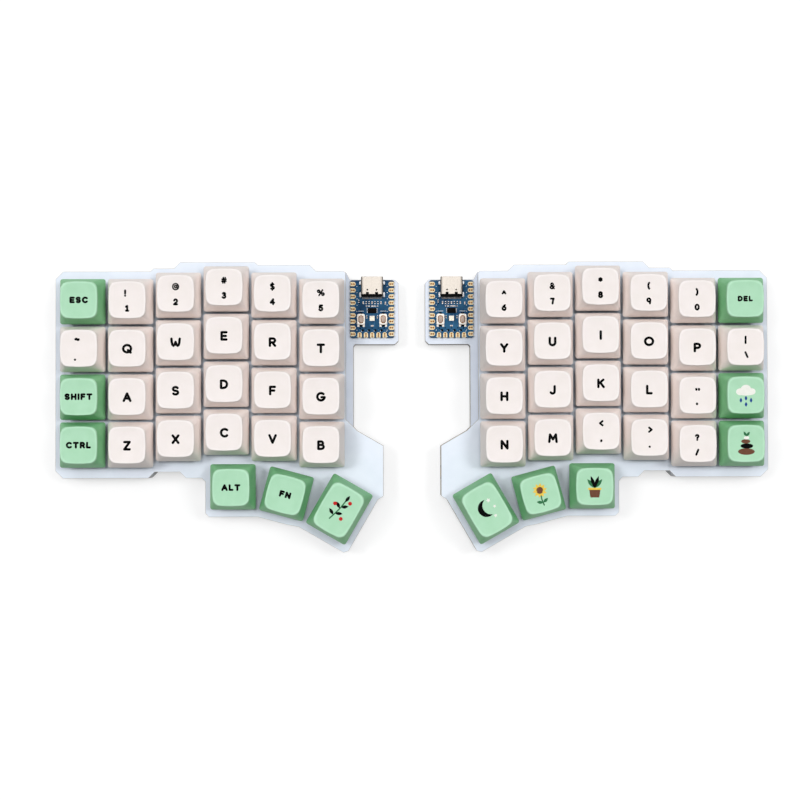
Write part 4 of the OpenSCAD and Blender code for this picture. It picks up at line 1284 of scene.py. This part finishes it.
def push_buttons(shape, place):
    for x in (-BUTTON_X, BUTTON_X):
        here = place @ at(x, -BUTTON_Y)
        block(shape, here, BUTTON_W, BUTTON_L, SEAM, SEAM + BUTTON_H, 0.7, 0.22)
        for side in (-1, 1):
            lead = here @ at(0, side * (BUTTON_L / 2 + 0.25))
            block(shape, lead, 1.1, 0.9, 0.0, 0.35, 0.1, 0.05, 1)
            tab = here @ at(side * 1.1, -BUTTON_L / 2 - 0.3)
            block(shape, tab, 0.85, 1.1, 0.0, 0.4, 0.15, 0.08)
        outer = rounded(PLUNGER_W + 0.6, PLUNGER_L + 0.6, 1.0, 6)
        inner = rounded(PLUNGER_W + 0.1, PLUNGER_L + 0.1, 0.78, 6)[::-1]
        plate(shape, [outer, inner], BUTTON_H, BUTTON_H + SEAM + 0.12, 0.04, here, 2, 2)


def plungers(shape, place):
    low = SEAM + BUTTON_H + SEAM
    for x in (-BUTTON_X, BUTTON_X):
        here = place @ at(x, -BUTTON_Y)
        block(shape, here, PLUNGER_W, PLUNGER_L, low, low + PLUNGER_H, 0.72, 0.18)


def lamps(shape, place):
    here, top = place @ at(0, -LAMP_Y), SEAM + LAMP_H
    bezel = [rounded(LAMP_W, LAMP_W, 0.12, 3), flat_ring(LENS_R + 0.01)[::-1]]
    plate(shape, bezel, SEAM, top, 0.05, here)
    shape.add(lathe([(LENS_R, SEAM), (LENS_R, top - 0.2), (0.4, top - 0.1)], 24), here, 1)
    for side in (-1, 1):
        for y in (-0.55, 0.55):
            lead = here @ at(side * (LAMP_W / 2 + 0.1), y)
            block(shape, lead, 0.5, 0.55, 0.0, 0.3, 0.06, 0.04, 2)


def chips(shape, place):
    here = place @ at(0, -CHIP_Y)
    block(shape, here, CHIP_W - 0.9, CHIP_L, SEAM + 0.05, SEAM + CHIP_H, 0.08, 0.07)
    for side in (-1, 1):
        for i in range(4):
            lead = here @ at(side * (CHIP_W / 2 - 0.3), (i - 1.5) * CHIP_PITCH)
            block(shape, lead, 0.6, 0.22, 0.0, 0.3, 0.05, 0.04, 1)
    top = place @ at(0, 0, SEAM + CHIP_H)
    dot(shape, top, -CHIP_W / 2 + 0.95, -CHIP_Y + CHIP_L / 2 - 0.45, 0.16, 2, 0.0)


def processors(shape, place):
    under = place @ at(0, -CONTROLLER_L / 2, -CONTROLLER_T - SEAM)
    block(shape, under, PROCESSOR_W, PROCESSOR_W, -PROCESSOR_H, 0, 0.1, 0.08)


def passives(shape, place):
    """Small resistors and capacitors with tinned ends."""
    spots = [(-3.6 + 1.2 * i, -9.2, 90) for i in range(7)]
    spots += [(-2.0 + 1.3 * i, -10.6, 0) for i in range(4)]
    spots += [(-5.4, -8.6, 90), (5.4, -9.4, 90), (-2.2, -15.0, 90), (2.2, -15.0, 90)]
    spots.append((0, -18.6, 0))
    for i, (x, y, turn) in enumerate(spots):
        here = place @ at(x, y, 0, turn)
        block(shape, here, 0.55, 0.5, 0.0, 0.34, 0.04, 0.03, 0 if i % 3 else 2)
        for side in (-1, 1):
            block(shape, here @ at(side * 0.4, 0), 0.3, 0.54, 0.0, 0.37, 0.05, 0.04, 1)


controller_boards()
for name, make, paints, slot in (
    ("controller_pads", pads, [GOLD, HOLE], "brass"),
    ("usb_shells", usb_shells, [STEEL, CHIP, HOLE, TIN, PAINTED_SHADE_STEEL], "steel"),
    ("usb_tongues", usb_tongues, [CHIP, GOLD], "black_housing"),
    ("push_buttons", push_buttons, [BUTTON, CHIP, HOLE], "white_plate"),
    ("button_plungers", plungers, [PLUNGER], "black_housing"),
    ("lamps", lamps, [BUTTON, LENS, CHIP], "white_plate"),
    ("small_chips", chips, [CHIP, TIN, SILK], "black_housing"),
    ("processors", processors, [CHIP], "black_housing"),
    ("passives", passives, [CHIP, TIN, PLUNGER], "steel"),
):
    fixed(name, make, CONTROLLER_PLACES, paints, "controllers")


# Stage, light and camera

def seen_directly(tree):
    """A number that is 1 for what the camera sees, also in a mirror or through glass."""
    rays = tree.nodes.new("ShaderNodeLightPath").outputs
    total = rays["Is Camera Ray"]
    for ray in ("Is Glossy Ray", "Is Transmission Ray"):
        links = {0: total, 1: rays[ray]}
        total = shader_node(tree, "ShaderNodeMath", 0, {}, links, operation="MAXIMUM")
    return total


def make_floor():
    half = FLOOR_HALF
    mesh = bpy.data.meshes.new("floor")
    corners = [(-half, -half, 0), (half, -half, 0), (half, half, 0), (-half, half, 0)]
    mesh.from_pydata(corners, [], [[0, 1, 2, 3]])
    floor = bpy.data.objects.new("floor", mesh)
    bpy.context.scene.collection.objects.link(floor)
    material = bpy.data.materials.new("white_floor")
    material.use_nodes = True
    tree = material.node_tree
    sockets = tree.nodes["Principled BSDF"].inputs
    sockets["Base Color"].default_value = FLOOR_COLOUR
    sockets["Roughness"].default_value = 0.9
    sockets["Specular IOR Level"].default_value = 0.0
    sockets["Emission Color"].default_value = (1, 1, 1, 1)
    links = {0: seen_directly(tree)}
    glow = shader_node(tree, "ShaderNodeMath", 0, {1: FLOOR_GLOW}, links, operation="MULTIPLY")
    tree.links.new(glow, sockets["Emission Strength"])
    mesh.materials.append(material)


def make_world():
    world = bpy.data.worlds.new("studio")
    bpy.context.scene.world = world
    world.use_nodes = True
    tree = world.node_tree
    backdrop = tree.nodes["Background"]
    backdrop.inputs["Color"].default_value = (1, 1, 1, 1)
    backdrop.inputs["Strength"].default_value = 1
    light = {"Color": AMBIENT_COLOUR, "Strength": AMBIENT}
    ambient = shader_node(tree, "ShaderNodeBackground", 0, light, {})
    links = {"Fac": seen_directly(tree), 1: ambient, 2: backdrop.outputs[0]}
    mix = shader_node(tree, "ShaderNodeMixShader", 0, {}, links)
    tree.links.new(mix, tree.nodes["World Output"].inputs["Surface"])


def make_lamp(name, energy, width, lean, turn):
    """A broad lamp that leans from straight overhead towards a turn round Z, where 0 is +X."""
    sun = bpy.data.lights.new(name, "SUN")
    sun.energy = energy
    sun.angle = math.radians(width)
    lamp = bpy.data.objects.new(name, sun)
    lamp.rotation_euler = (0, math.radians(lean), math.radians(turn))
    bpy.context.scene.collection.objects.link(lamp)


def make_camera():
    camera = bpy.data.cameras.new("camera")
    camera.sensor_width = CAMERA_SENSOR
    camera.lens = CAMERA_LENS
    camera.clip_start, camera.clip_end = 0.01, 20
    seat = bpy.data.objects.new("camera", camera)
    seat.location = Vector(CAMERA_PLACE) * MM
    seat.rotation_euler = CAMERA_TURN
    bpy.context.scene.collection.objects.link(seat)
    bpy.context.scene.camera = seat


make_floor()
make_world()
for lamp_name, lamp in LAMPS.items():
    make_lamp(lamp_name, *lamp)
make_camera()
bpy.context.scene.view_settings.view_transform = "Standard"
